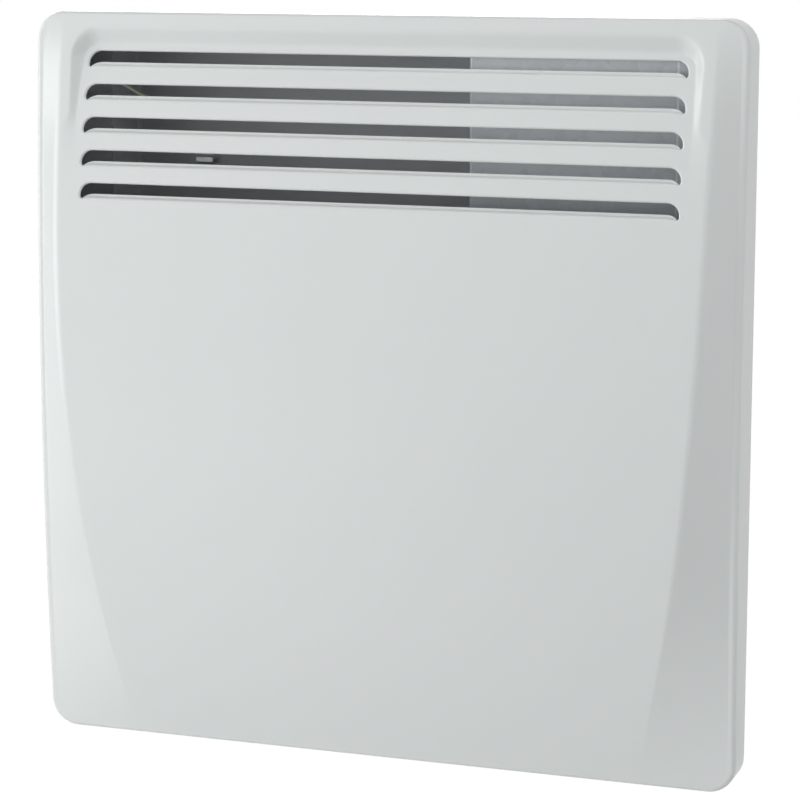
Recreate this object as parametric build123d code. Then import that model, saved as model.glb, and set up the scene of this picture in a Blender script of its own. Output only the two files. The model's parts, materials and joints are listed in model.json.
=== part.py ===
from build123d import *
import math
import os

# Wall panel convector heater. Millimetres. X to the right seen from the front, Y into the wall,
# Z up. The origin is the centre of the bracket's screw pattern, on the wall.
# A "reach" is a distance in front of the cover's rear edge.

# Overall
cover_w = 440.0            # cover, width
cover_h = 447.0            # cover, height
cover_corner_r = 17.0      # cover, outline corner radius
cover_t = 1.0              # cover, sheet thickness
case_t = 0.8               # casing, sheet thickness
wall_gap = 14.0            # wall to the casing's back
pan_depth = 36.0           # casing's back to the cover's rear edge
half_w = cover_w / 2
half_h = cover_h / 2
edge_y = -(wall_gap + pan_depth)

# Cover's pressed form
edge_bend_r = 4.0          # bend between the rim and the side walls
rim_mid = 30.4             # rim's reach at mid height
rim_end = 22.5             # rim's reach at the top and bottom edges
field_mid = 47.0           # raised field's reach at mid height
foot_inset = 4.0           # side wall to the foot of the flank
foot_round_down = 23.5     # top edge to the height from which the foot follows the corners
foot_round_z = half_h - foot_round_down
foot_round = 4.0           # how far the foot comes in at the ends
crease_inset = 18.0        # side wall to the field's crease at the top
crease_turn_down = 103.5   # top edge to the height below which the field narrows
crease_x = half_w - crease_inset
crease_turn_z = half_h - crease_turn_down
crease_bow_r = 1420.0      # radius of the narrowing sides
crease_r = 9.0             # bend between the field and its flanks
field_stations = 9         # sections through the raised field
field_tuck = 0.2           # how far the field runs on under the rim at its ends
foot_tuck = 0.4            # how far the flanks run on under the rim at their feet

# Recess round the grille
recess_side = 33.0         # cover's side to the foot of the recess's wall
recess_down = 18.0         # cover's top to the foot of its top wall
recess_h = 113.5           # from there to where it runs out into the field
recess_half_w = half_w - recess_side
recess_top = half_h - recess_down
recess_fade = recess_top - recess_h
recess_depth = 6.4         # depth under the field at its top
recess_mid_depth = 1.8     # depth half way down
recess_corner_r = 9.0
recess_draft = 48.0        # slope of its walls, degrees

# Air outlet slots
slot_count = 5
slot_pitch = 19.65
slot_down = 13.6           # foot of the recess's top wall to the first slot's lower edge
slot_side = 2.0            # foot of its side walls to the slots
slot_first_z = recess_top - slot_down
slot_half_w = recess_half_w - slot_side
slot_h = 9.2
slot_top_r = 7.0           # rounding of the upper corners
slot_low_r = 1.5           # rounding of the lower corners
lip_back = 3.6             # how far each lower lip turns back
lip_rise = 3.0             # how far it rises
lip_end_r = 8.0            # how its ends run down

# Fasteners and fits
fit_gap = 0.3              # clearance between pieces that slip together
screw_fit = 0.03           # hole to shank, radial
pin_fit = 0.05             # pivot pin to hook, radial
spindle_fit = 0.05         # spindle to its bore, radial
screw_r = 2.0
screw_head_r = 3.8
screw_head_t = 2.0
screw_len = 8.0
small_screw_r = 1.4
small_screw_head_r = 2.6
small_screw_head_t = 1.4
small_screw_len = 9.0
cover_screw_xs = (-120.0, 0.0, 120.0)
cover_screw_reach = 6.0

# Casing
pan_side = 38.0            # cover's side to the pan
pan_down = 20.5            # cover's top to the pan
pan_up = 28.5              # cover's bottom to the pan
pan_half_w = half_w - pan_side
pan_top = half_h - pan_down
pan_bottom = -half_h + pan_up
bay_w = 129.0              # control compartment, partition to the casing's side
partition_x = pan_half_w - bay_w
pan_bend_r = 4.0           # bend round the pan's back
pan_corner_r = 10.0        # its corners seen from the front
flange_reach = 0.5         # flange's rear face, in front of the cover's rear edge
lip_len = 10.0             # its turned edge, along the cover's walls
inlet_w = 5.0
inlet_len = 22.0
inlet_pitch = 12.0
inlet_margin = 20.0        # casing's side and partition to the end inlets
inlet_first_x = -pan_half_w + inlet_margin
inlet_count = int((partition_x - inlet_margin - inlet_first_x) // inlet_pitch) + 1
buffer_in = 32.0           # pan's side to the buffers
buffer_down = 25.0         # pan's top to the buffers
buffer_x = pan_half_w - buffer_in
buffer_z = pan_top - buffer_down
buffer_r = 10.0
buffer_tip_r = 6.0
buffer_rim = 4.0
buffer_gap = 0.5           # buffer's tip to the wall

# Hooks under the cover's top wall
hook_strip_x = 100.0
hook_strip_w = 24.0
hook_strip_t = 0.8
hook_strip_len = 7.0
hook_strip_catch = 6.0
hook_strip_drop = 0.4      # extra room under the casing's edge

# Wall bracket, pivot and clips
bracket_t = 1.5
bracket_in = 32.0          # pan's side to the bracket
bracket_down = 53.0        # pan's top to the bracket
bracket_up = 5.0           # pan's bottom to the bracket
bracket_half_w = pan_half_w - bracket_in
bracket_top = pan_top - bracket_down
bracket_bottom = pan_bottom + bracket_up
bracket_frame = 40.0       # width of its side strips
bracket_rail = 44.0        # height of its top and bottom rails
bracket_rib = 6.0          # depth of its folded edges
bracket_corner_r = 8.0
screw_half_x = bracket_half_w - bracket_frame / 2
screw_half_z = 105.0
screw_hole_r = 2.75
pivot_in = 50.0            # bracket's side to the pivot's ears
pivot_x = bracket_half_w - pivot_in
pivot_y = -8.0
pivot_up = 8.0             # bracket's lower edge to the pivot
pivot_z = bracket_bottom + pivot_up
pin_r = 2.5
pin_head_r = 4.0
pin_head_t = 1.5
pin_end = 1.5              # pin past the hook
ear_r = 5.0
hook_t = 3.0
hook_side_gap = 0.4        # ear to hook
hook_foot_t = 1.5
hook_foot_w = 18.0
hook_foot_z = 8.0
hook_foot_h = 24.0
clip_in = 16.5             # bracket's side to the clips
clip_down = 18.5           # bracket's top to the clips
clip_x = bracket_half_w - clip_in
clip_z = bracket_top - clip_down
clip_w = 11.0
clip_h = 4.4
clip_t = 0.6
clip_len = 19.0
clip_foot = 24.0
clip_bend_r = 0.8
clip_slot_gap = 0.6        # clip to the casing's slot, all round
rivet_r = 1.2
rivet_head_r = 2.2
rivet_head_t = 0.9
clip_rivet_off = 7.5

# Element
element_up = 75.0          # pan's bottom to the element's axis
element_reach = 4.0
element_side = 36.0        # pan's side to the element's end
element_bay = 40.0         # element's other end to the partition
element_z = pan_bottom + element_up
element_x0 = -pan_half_w + element_side
element_x1 = partition_x - element_bay
element_core_r = 7.0
rod_r = 4.0
rod_end = 2.0              # rod past its bushes
fin_len = 30.0
fin_t = 1.6
fin_angles = (40.0, 140.0, 220.0, 320.0)
fin_slot_len = 12.0
fin_slot_w = 3.0
fin_slot_pitch = 20.0
bush_r = 8.0
bush_len = 12.0
bush_collar_r = 10.0
bush_collar = 3.0
support_t = 1.0
support_w = 36.0
support_foot = 12.0
support_corner_r = 8.0
tab_w = 6.3
tab_t = 0.8
tab_len = 8.0

# Heat shield behind the element
shield_t = 0.6
shield_gap = 6.0
shield_short = 4.0         # element's ends to the shield's
shield_x0 = element_x0 + shield_short
shield_x1 = element_x1 - shield_short
shield_up = 17.0           # pan's bottom to the shield
shield_h = 238.0
shield_bottom = pan_bottom + shield_up
shield_top = shield_bottom + shield_h
shield_turn = 9.0
shield_margin = 12.0
spacer_r = 4.0

# Partition and its grommet
partition_t = 0.8
partition_reach = 13.0
partition_foot = 12.0
partition_return = 18.0    # how far its right edge runs back along the casing
partition_over = 5.0       # how far it rises past the pan, under the cover
partition_up = 5.0         # pan's bottom to its lower edge
partition_top = pan_top + partition_over
partition_bottom = pan_bottom + partition_up
partition_bend_r = 1.5
grommet_back = 21.0        # casing's back to the grommet
grommet_rise = 60.0        # element's axis to the grommet
grommet_y = -wall_gap - grommet_back
grommet_z = element_z + grommet_rise
grommet_r = 4.6
grommet_lip = 1.2
grommet_len = 4.0
grommet_bore_r = 3.2

# Controls, on the casing's right side
fascia_len = 124.0
fascia_up = 29.0           # pan's bottom to the fascia
fascia_z0 = pan_bottom + fascia_up
fascia_z1 = fascia_z0 + fascia_len
fascia_w = 28.0
fascia_t = 2.5
fascia_r = 5.0
fascia_back = 5.0          # casing's back to the fascia
fascia_y = -(wall_gap + fascia_back + fascia_w / 2)
fascia_edge_r = 0.8
plug_t = 2.5               # part of the fascia that fills the window
window_margin = 3.0
window_end = 11.0
fascia_screw_off = 5.5
knob_down = 30.0           # fascia's top to the knob's axis
knob_z = fascia_z1 - knob_down
knob_r = 10.5
knob_h = 13.0
knob_gap = 0.8
knob_edge_r = 1.2
knob_flutes = 18
knob_flute_r = 1.2
knob_skirt = 2.5
knob_bore = 9.0
knob_ring_r = 12.5
knob_ring_t = 1.0
knob_ring_h = 1.5
pointer_w = 1.6
pointer_h = 0.8
spindle_r = 3.0
spindle_flat = 1.6
stat_w = 21.0
stat_h = 36.0
stat_depth = 26.0
stat_floor = 3.0
stat_bush_r = 5.0
stat_chamfer = 1.5
rocker_down = 73.0         # fascia's top to the rocker's axis
rocker_z = fascia_z1 - rocker_down
rocker_w = 9.0
rocker_r = 9.4             # pivot to the ends of the rocker's face
rocker_end_angle = 36.0
rocker_dip = 1.2
rocker_skirt = 4.5
rocker_edge_r = 0.6
rocker_angle = 10.0        # tilt in either position
rocker_gap = 0.45
rocker_pin_r = 1.4
rocker_pin_len = 1.0
rocker_well = 13.0
switch_wall = 1.7
switch_depth = 20.0
bezel_t = 0.8
bezel_w = 1.3
lens_up = 22.0             # fascia's bottom to the lens
lens_z = fascia_z0 + lens_up
lens_r = 3.5
lens_stem_r = 2.8
lens_proud = 2.0
lens_edge_r = 1.2
lens_tail = 6.0

# Cut-out, terminal block and gland
cutout_r = 8.0
cutout_t = 6.0
cutout_back = 26.0         # casing's back to the cut-out
cutout_rise = 80.0         # grommet to the cut-out
cutout_y = -wall_gap - cutout_back
cutout_z = grommet_z + cutout_rise
block_in = 70.0            # pan's side to the terminal block
block_up = 45.0            # pan's bottom to the terminal block
block_x = pan_half_w - block_in
block_z = pan_bottom + block_up
block_ways = 3
block_way = 10.0
block_d = 16.0
block_h = 18.0
block_edge_r = 1.0
entry_r = 1.7
entry_depth = 6.0
gland_in = 32.0            # pan's side to the gland
gland_back = 18.0          # casing's back to the gland
gland_x = pan_half_w - gland_in
gland_y = -wall_gap - gland_back
gland_bore_r = 3.75
gland_r = 9.0
gland_flange = 2.0
gland_head = 9.0
gland_thread_r = 6.0
gland_thread_len = 11.0
gland_nut_t = 4.0

# Leads and earth points
lead_r = 1.2
lead_turn = 6.0
lead_clear = 0.3           # lead's end to what it joins
lead_pitch = 3.2           # between the two leads in the grommet
earth_in = 62.0            # pan's side to the earth screw
earth_down = 40.0          # pan's top to the earth screw
stud_in = 21.5             # cover's side to the earth stud
stud_down = 36.5           # cover's top to the earth stud
earth_x = -pan_half_w + earth_in
earth_z = pan_top - earth_down
stud_x = -half_w + stud_in
stud_z = half_h - stud_down
stud_r = 1.5
stud_len = 9.0
nut_r = 3.0
nut_t = 2.4
ring_r = 4.0
ring_t = 0.8
earth_run = 38.0           # from the earth screw to where the lead enters the casing

past_front = field_mid + edge_bend_r   # reach past the whole front, for cutters
pan_back_y = -wall_gap
pan_in_y = pan_back_y - case_t
element_y = edge_y - element_reach
clip_rivet_zs = (clip_z - clip_rivet_off, clip_z + clip_rivet_off)
fascia_screw_zs = (fascia_z0 + fascia_screw_off, fascia_z1 - fascia_screw_off)
switch_half_w = rocker_w / 2 + rocker_gap + switch_wall
switch_half_h = rocker_r + rocker_gap + switch_wall
rocker_axis_x = pan_half_w + fascia_t + bezel_t - rocker_r * math.sin(
    math.radians(rocker_end_angle - rocker_angle))


# ---------------------------------------------------------------- cover

def bow(z, mid, end, end_z, inset=0.0):
    """Reach at height z of the arc through mid at z 0 and end at end_z, moved back by inset."""
    sag = mid - end
    radius = (end_z**2 + sag**2) / (2 * sag)
    return mid - radius + math.sqrt((radius - inset) ** 2 - z**2)


def rim_at(z, inset=0.0):
    """Reach of the rim at height z."""
    return bow(z, rim_mid, rim_end, half_h, inset)


def field_at(z, inset=0.0):
    """Reach of the raised field at height z; it meets the rim where the edge bend starts."""
    meet = half_h - edge_bend_r
    return bow(z, field_mid, rim_at(meet), meet, inset)


def crease_at(z):
    """Half width of the raised field at height z."""
    drop = max(crease_turn_z - z, 0.0)
    return crease_x - (crease_bow_r - math.sqrt(crease_bow_r**2 - drop**2))


def foot_at(z):
    """Half width at the foot of the flanks at height z."""
    near = max(abs(z) - foot_round_z, 0.0) / (half_h - edge_bend_r - foot_round_z)
    return half_w - foot_inset - foot_round * near**2


def at(reach, z, x=0.0):
    """The point at a reach in front of the cover's rear edge."""
    return Vector(x, edge_y - reach, z)


def tangent_arc(before, corner, after, radius):
    """Start, middle and end of the arc of a radius in a corner."""
    u, w = (before - corner).normalized(), (after - corner).normalized()
    half_turn = (math.pi - math.acos(max(-1.0, min(1.0, u.dot(w))))) / 2
    axis = (u + w).normalized()
    centre = corner + axis * (radius / math.cos(half_turn))
    run = radius * math.tan(half_turn)
    return corner + u * run, centre - axis * radius, corner + w * run


def loop_face(edges):
    """Face inside a closed chain of edges."""
    return make_face(Curve() + edges)


def outline_block(inset, rear):
    """Block with the cover's rounded outline, from reach rear forward."""
    plane = Plane((0, edge_y - rear, 0), x_dir=(1, 0, 0), z_dir=(0, -1, 0))
    face = RectangleRounded(cover_w - 2 * inset, cover_h - 2 * inset, cover_corner_r - inset)
    return extrude(plane * face, past_front - rear)


def rim_body(inset, rear):
    """Slab with the rim's bowed front and the bend round its edge."""
    end = half_h + edge_bend_r
    front = ThreePointArc(*[at(rim_at(z, inset), z) for z in (end, 0, -end)])
    back = Polyline(front @ 1, at(rear, -end), at(rear, end), front @ 0)
    slab = extrude(loop_face([front, back]), cover_w, both=True, dir=(1, 0, 0))
    slab &= outline_block(inset, rear)
    bend = [e for e in slab.edges() if (e @ 0.5).Y < edge_y - rim_end + edge_bend_r]
    return fillet(bend, edge_bend_r - inset)


def field_section(z, inset, rear):
    """Level section through the raised field and its flanks."""
    foot = at(rim_at(z) - foot_tuck, z, foot_at(z))
    top = at(field_at(z), z, crease_at(z))
    along = (foot - top).normalized()
    foot -= Vector(-along.Y, along.X, 0) * -inset
    level = edge_y - field_at(z, inset)
    top = foot - along * ((level - foot.Y) / -along.Y)
    low = foot + along * edge_bend_r * 1.5
    bend = tangent_arc(low, top, Vector(0, level, z), crease_r - inset)
    right = [Vector(low.X, edge_y - rear, z), low, *bend]
    left = [Vector(-p.X, p.Y, p.Z) for p in right]
    edges = [ThreePointArc(*right[2:]), ThreePointArc(*left[2:][::-1]), Line(right[4], left[4])]
    for side in (right, left):
        edges += [Line(side[0], side[1]), Line(side[1], side[2])]
    return loop_face(edges + [Line(left[0], right[0])])


def field_body(inset, rear):
    """Raised field: a smooth loft through level sections, kept inside the edge bend."""
    end = half_h - edge_bend_r + 2 * field_tuck
    heights = [end * (2 * k / (field_stations - 1) - 1) for k in range(field_stations)]
    body = loft([field_section(z, inset, rear) for z in heights])
    return body & outline_block(edge_bend_r - field_tuck, rear)


def grille_arc():
    """Side view of the leaning grille: it leaves the field at the fade line."""
    middle = (recess_top + recess_fade) / 2
    return ThreePointArc(
        at(field_at(recess_fade), recess_fade),
        at(field_at(middle) - recess_mid_depth, middle),
        at(field_at(recess_top) - recess_depth, recess_top),
    )


def recess_cutter(inset):
    """What is pressed out in front of the grille, with sloping walls."""
    arc = Pos(0, inset, 0) * grille_arc()
    low, high = arc @ 0, arc @ 1
    low_out = low - (arc % 0) * recess_corner_r
    high_out = high + (arc % 1) * 2 * recess_corner_r
    far = edge_y - past_front
    front = Polyline(high_out, (0, far, high_out.Z), (0, far, low_out.Z), low_out)
    region = extrude(
        loop_face([Line(low_out, low), arc, Line(high, high_out), front]),
        cover_w, both=True, dir=(1, 0, 0),
    )
    up = (high - low).normalized()
    height = (high - low).length + recess_corner_r
    plane = Plane(high - up * (height / 2), x_dir=(1, 0, 0), z_dir=Vector(0, -up.Z, up.Y))
    mouth = RectangleRounded(2 * (recess_half_w + inset), height + 2 * inset, recess_corner_r)
    return region & extrude(plane * mouth, field_mid / 2, taper=-recess_draft)


def cover_form(inset, rear):
    """The cover's outer form, or with an inset the form of its inside."""
    return rim_body(inset, rear) + field_body(inset, rear) - recess_cutter(inset)


def slot_z(index):
    """Height of a slot's lower edge."""
    return slot_first_z - index * slot_pitch


def rounded_top(side, height, radius):
    """Face seen from the front, standing on Z 0, with its upper corners rounded."""
    face = Pos(0, height / 2) * Rectangle(2 * side, height)
    return fillet(face.vertices().group_by(Axis.Y)[-1], radius)


def front_plane(z):
    """Plane facing forward at the cover's rear edge, at height z."""
    return Plane((0, edge_y, z), x_dir=(1, 0, 0), z_dir=(0, -1, 0))


def slot_cutter(index):
    """One air slot, punched straight through."""
    face = rounded_top(slot_half_w, slot_h, slot_top_r)
    face = fillet(face.vertices().group_by(Axis.Y)[0], slot_low_r)
    return extrude(front_plane(slot_z(index)) * face, past_front)


def slot_lip(index):
    """Lip turned back and up from a slot's lower edge, running down at its ends."""
    z = slot_z(index)
    arc = grille_arc()
    depth = math.sqrt(arc.radius**2 - (z - arc.arc_center.Z) ** 2)
    front = Vector(0, arc.arc_center.Y - depth + cover_t / 2, z - cover_t / 2)
    back = front + Vector(0, lip_back, lip_rise)
    down = Vector(0, -lip_rise, lip_back).normalized() * -cover_t
    profile = Polyline(front, back, back + down, front + down, close=True)
    blade = extrude(make_face(profile), slot_half_w, both=True, dir=(1, 0, 0))
    ends = rounded_top(slot_half_w, 2 * lip_end_r, lip_end_r)
    return blade & extrude(front_plane(back.Z - 2 * lip_end_r) * ends, past_front)


def front_cover():
    """Pressed steel cover with its louvred outlet."""
    shell = cover_form(0.0, 0.0) - cover_form(cover_t, -cover_t)
    shell -= [slot_cutter(k) for k in range(slot_count)]
    shell += [slot_lip(k) for k in range(slot_count)]
    for x in cover_screw_xs:
        shell -= rod(screw_r + screw_fit, 3 * cover_t, (x, edge_y - cover_screw_reach, -half_h), "Z")
    return shell


def cover_hooks():
    """Strips welded under the cover's top wall that catch the casing's turned edge."""
    top = half_h - cover_t - hook_strip_t / 2
    front = edge_y - flange_reach - lip_len - fit_gap - hook_strip_t / 2
    low = half_h - cover_t - 2 * fit_gap - case_t - hook_strip_t / 2
    path = [(front - hook_strip_len, top), (front, top), (front, low - hook_strip_drop),
            (front + hook_strip_catch, low - hook_strip_drop)]
    return [
        side_strip(path, hook_strip_t, hook_strip_t, x, hook_strip_w)
        for x in (-hook_strip_x, hook_strip_x)
    ]


# ---------------------------------------------------------------- helpers

def rod(radius, length, centre, axis):
    """Round rod along X, Y or Z."""
    turn = {"X": Rot(0, 90, 0), "Y": Rot(90, 0, 0), "Z": Rot(0, 0, 0)}[axis]
    return Pos(*centre) * turn * Cylinder(radius, length)


def rod_from(radius, start, direction, length):
    """Round rod from a point along a direction."""
    return extrude(Plane(start, z_dir=direction) * Circle(radius), length)


def block(x, y, z):
    """Box between three pairs of limits."""
    size = [max(v) - min(v) for v in (x, y, z)]
    return Pos(*[(v[0] + v[1]) / 2 for v in (x, y, z)]) * Box(*size)


def strip_face(path, thickness, bend):
    """Face of a folded strip of sheet along a path, with a bend at each corner."""
    points = [Vector(*p) for p in path]
    runs = [(b - a).normalized() for a, b in zip(points, points[1:])]
    edges, ends = [], []
    for side in (1, -1):
        row, radii = [], []
        for k, point in enumerate(points):
            before, after = runs[max(k - 1, 0)], runs[min(k, len(runs) - 1)]
            normals = Vector(-before.Y, before.X), Vector(-after.Y, after.X)
            mitre = (normals[0] + normals[1]) * (1 / (1 + normals[0].dot(normals[1])))
            row.append(point + mitre * (side * thickness / 2))
            if 0 < k < len(points) - 1:
                inner = before.cross(after).Z * side > 0
                radii.append(bend + (-thickness / 2 if inner else thickness / 2))
        edges += FilletPolyline(*row, radius=radii).edges()
        ends.append((row[0], row[-1]))
    return loop_face(edges + [Line(ends[0][0], ends[1][0]), Line(ends[0][1], ends[1][1])])


def side_strip(path, thickness, bend, x, width):
    """Folded strip drawn in side view as (Y, Z) points, of a width about x."""
    plane = Plane((x, 0, 0), x_dir=(0, 1, 0), z_dir=(1, 0, 0))
    return extrude(plane * strip_face(path, thickness, bend), width / 2, both=True)


def screw(seat, direction, length, radius=None, head_r=None, head_t=None):
    """Pan-head screw; seat is under its head and direction points along its shank."""
    radius, head_r = radius or screw_r, head_r or screw_head_r
    head_t = head_t or screw_head_t
    away = Vector(*direction) * -1
    head = rod_from(head_r, seat, away, head_t)
    head = fillet(head.faces().sort_by(Axis(seat, away))[-1].edges(), head_t / 2)
    return head + rod_from(radius, seat, direction, length)


def hexagon(radius, length, start, direction, bore):
    """Hexagonal nut with a round bore."""
    plane = Plane(start, z_dir=direction)
    return extrude(plane * (RegularPolygon(radius, 6) - Circle(bore)), length)


def lead(points, radius=None):
    """Insulated wire through the points with rounded turns."""
    radius = radius or lead_r
    path = FilletPolyline(*points, radius=lead_turn)
    start = Plane(path @ 0, z_dir=path % 0)
    return sweep(start * Circle(radius), path)


# ---------------------------------------------------------------- casing

def pan(inset, front):
    """Block with the pan's rounded form, from its back to a plane in front."""
    width, height = 2 * (pan_half_w - inset), pan_top - pan_bottom - 2 * inset
    plane = Plane((0, pan_back_y - inset, (pan_top + pan_bottom) / 2), x_dir=(1, 0, 0), z_dir=(0, -1, 0))
    outline = RectangleRounded(width, height, pan_corner_r - inset)
    solid = extrude(plane * outline, pan_back_y - inset - front)
    return fillet(solid.faces().sort_by(Axis.Y)[-1].edges(), pan_bend_r - inset)


def tray(inset, rear, front):
    """Block with the flange's outline between two reaches."""
    side = cover_t + fit_gap + inset
    face = RectangleRounded(cover_w - 2 * side, cover_h - 2 * side, cover_corner_r - side)
    plane = Plane((0, edge_y - rear, 0), x_dir=(1, 0, 0), z_dir=(0, -1, 0))
    return extrude(plane * face, front - rear)


def inlet_slots():
    """Row of air inlets through the casing's bottom."""
    plane = Plane((0, pan_back_y - pan_depth / 2, pan_bottom - case_t), z_dir=(0, 0, 1))
    slot = SlotOverall(inlet_len, inlet_w, rotation=90)
    xs = [inlet_first_x + k * inlet_pitch for k in range(inlet_count)]
    return [extrude(plane * Pos(x, 0) * slot, 3 * case_t) for x in xs]


def rear_casing():
    """Folded steel casing: pan, flange behind the cover and an edge turned up inside its walls."""
    flange_front = edge_y - flange_reach - case_t
    solid = pan(0.0, flange_front) + tray(0.0, flange_reach, flange_reach + lip_len)
    solid -= tray(case_t, flange_reach + case_t, past_front)
    solid -= pan(case_t, flange_front - case_t)
    solid -= inlet_slots()
    back = (pan_back_y + case_t, pan_back_y - 2 * case_t)
    for side in (-1, 1):
        x = side * clip_x
        solid -= block(
            (x - clip_w / 2 - clip_slot_gap, x + clip_w / 2 + clip_slot_gap), back,
            (clip_z - clip_h / 2 - clip_slot_gap, clip_z + clip_h / 2 + clip_slot_gap),
        )
    wall = (pan_half_w - 2 * case_t, pan_half_w + case_t)
    solid -= block(wall, window_y(0.0), window_z(0.0))
    for z in fascia_screw_zs:
        solid -= rod(small_screw_r + screw_fit, 4 * case_t, (pan_half_w, fascia_y, z), "X")
    solid -= rod(gland_thread_r + screw_fit, 4 * case_t, (gland_x, gland_y, pan_bottom), "Z")
    for x, z in back_screws():
        solid -= rod(screw_r + screw_fit, 4 * case_t, (x, pan_back_y, z), "Y")
    for x in cover_screw_xs:
        hole = (x, edge_y - cover_screw_reach, -half_h + cover_t + fit_gap)
        solid -= rod(screw_r + screw_fit, 4 * case_t, hole, "Z")
    return solid


def back_screws():
    """Places on the casing's back where screws come through from inside."""
    return shield_screw_places() + support_screw_places() + partition_screw_places() + [
        (earth_x, earth_z)] + [(block_x, block_z)]


def wall_buffers():
    """Rubber buffers that keep the casing's top off the wall."""
    tip = wall_gap - buffer_gap
    profile = Polyline(
        (0, 0), (buffer_r, 0), (buffer_r, buffer_rim), (buffer_tip_r, tip), (0, tip), close=True)
    solid = revolve(make_face(profile), Axis.Y)
    return [Pos(x, pan_back_y, buffer_z) * solid for x in (-buffer_x, buffer_x)]


# ---------------------------------------------------------------- wall bracket

def wall_bracket():
    """Steel frame with folded side edges, screw holes and two pivot ears."""
    mid_z = (bracket_top + bracket_bottom) / 2
    plane = Plane((0, 0, mid_z), x_dir=(1, 0, 0), z_dir=(0, -1, 0))
    height = bracket_top - bracket_bottom
    frame = RectangleRounded(2 * bracket_half_w, height, bracket_corner_r) - RectangleRounded(
        2 * (bracket_half_w - bracket_frame), height - 2 * bracket_rail, bracket_corner_r)
    solid = extrude(plane * frame, bracket_t)
    for side in (-1, 1):
        x = side * bracket_half_w
        rib_z = (bracket_bottom + bracket_corner_r, bracket_top - bracket_corner_r)
        solid += block((x, x - side * bracket_t), (0, -bracket_rib), rib_z)
        ear = side * pivot_x
        xs = (ear, ear + side * bracket_t)
        solid += block(xs, (0, pivot_y), (pivot_z - ear_r, pivot_z + ear_r))
        solid += rod(ear_r, bracket_t, (sum(xs) / 2, pivot_y, pivot_z), "X")
        solid -= rod(pin_r + screw_fit, 3 * bracket_t, (sum(xs) / 2, pivot_y, pivot_z), "X")
        for z in (-screw_half_z, screw_half_z):
            solid -= rod(screw_hole_r, 3 * bracket_t, (side * screw_half_x, 0, z), "Y")
        for z in clip_rivet_zs:
            solid -= rod(rivet_r + screw_fit, 3 * bracket_t, (side * clip_x, 0, z), "Y")
    return solid


def pivot_pins():
    """Headed pins through the ears; their outer ends carry the heater's hooks."""
    pins = []
    for side in (-1, 1):
        head_x = side * (pivot_x - pin_head_t)
        head = rod_from(pin_head_r, (head_x, pivot_y, pivot_z), (side, 0, 0), pin_head_t)
        reach = bracket_t + pin_head_t + 2 * hook_side_gap + hook_t + pin_end
        pins.append(head + rod_from(pin_r, (head_x, pivot_y, pivot_z), (side, 0, 0), reach))
    return pins


def spring_clips():
    """Folded spring strips that enter the casing's back."""
    foot_y = -bracket_t - clip_t / 2
    tip_y = -bracket_t - clip_len
    leaf = (clip_h - clip_t) / 2
    clips = []
    for side in (-1, 1):
        path = [(foot_y, clip_foot / 2), (foot_y, leaf), (tip_y, leaf), (tip_y, -leaf), (foot_y, -leaf),
                (foot_y, -clip_foot / 2)]
        path = [(y, clip_z + z) for y, z in path]
        clip = side_strip(path, clip_t, clip_bend_r, side * clip_x, clip_w)
        for z in clip_rivet_zs:
            clip -= rod(rivet_r + screw_fit, 4 * clip_t, (side * clip_x, foot_y, z), "Y")
        clips.append(clip)
    return clips


def clip_rivets():
    """Rivets that hold the clips' feet to the bracket."""
    seat = -bracket_t - clip_t
    return [
        screw((x, seat, z), (0, 1, 0), -seat, rivet_r, rivet_head_r, rivet_head_t)
        for x in (-clip_x, clip_x) for z in clip_rivet_zs
    ]


def pivot_hooks():
    """Hooks on the casing's back that hang on the pins, open below."""
    hooks = []
    for side in (-1, 1):
        x0 = side * (pivot_x + bracket_t + hook_side_gap)
        x1 = x0 + side * hook_t
        mid = ((x0 + x1) / 2, pivot_y, pivot_z)
        arm = block((x0, x1), (pan_back_y, pivot_y), (pivot_z, pivot_z + ear_r))
        arm += block((x0, x1), (pan_back_y, pan_back_y + hook_foot_t), (pivot_z, pivot_z + hook_foot_h))
        hook = arm + rod(ear_r, hook_t, mid, "X")
        hook += block(
            (x0, x0 + side * hook_foot_w), (pan_back_y, pan_back_y + hook_foot_t),
            (pivot_z + hook_foot_z, pivot_z + hook_foot_h),
        )
        hook -= rod(pin_r + pin_fit, 2 * hook_t, mid, "X")
        seat = pin_r + pin_fit
        mouth_z = (pivot_z - 2 * ear_r, pivot_z)
        hook -= block((x0 - side, x1 + side), (pivot_y - seat, pivot_y + seat), mouth_z)
        hooks.append(hook)
    return hooks


# ---------------------------------------------------------------- element

def element_fins():
    """Aluminium profile: four slotted fins round a core."""
    centre = (0, element_y, element_z)
    mid_x, length = (element_x0 + element_x1) / 2, element_x1 - element_x0
    section = Circle(element_core_r)
    for angle in fin_angles:
        section += Rot(0, 0, angle) * Pos(fin_len / 2, 0) * Rectangle(fin_len, fin_t)
        section += Rot(0, 0, angle) * Pos(fin_len, 0) * Circle(fin_t)
    plane = Plane((element_x0, element_y, element_z), x_dir=(0, 1, 0), z_dir=(1, 0, 0))
    solid = extrude(plane * section, length)
    solid -= rod(rod_r + screw_fit, length + 2, (mid_x, *centre[1:]), "X")
    count = int((length - fin_slot_pitch) // fin_slot_pitch)
    cuts = []
    for k in range(count):
        x = mid_x + (k - (count - 1) / 2) * fin_slot_pitch
        for angle in fin_angles:
            fin = Pos(x, element_y, element_z) * Rot(angle, 0, 0)
            middle = Pos(0, fin_len - fin_slot_len / 2 - 2 * fin_t, 0)
            cuts.append(fin * middle * Box(fin_slot_w, fin_slot_len, 4 * fin_t))
    return solid - cuts


def element_rod():
    """Sheathed heating rod through the core."""
    ends = element_x0 - bush_len - rod_end, element_x1 + bush_len + rod_end
    return rod(rod_r, ends[1] - ends[0], (sum(ends) / 2, element_y, element_z), "X")


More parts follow.
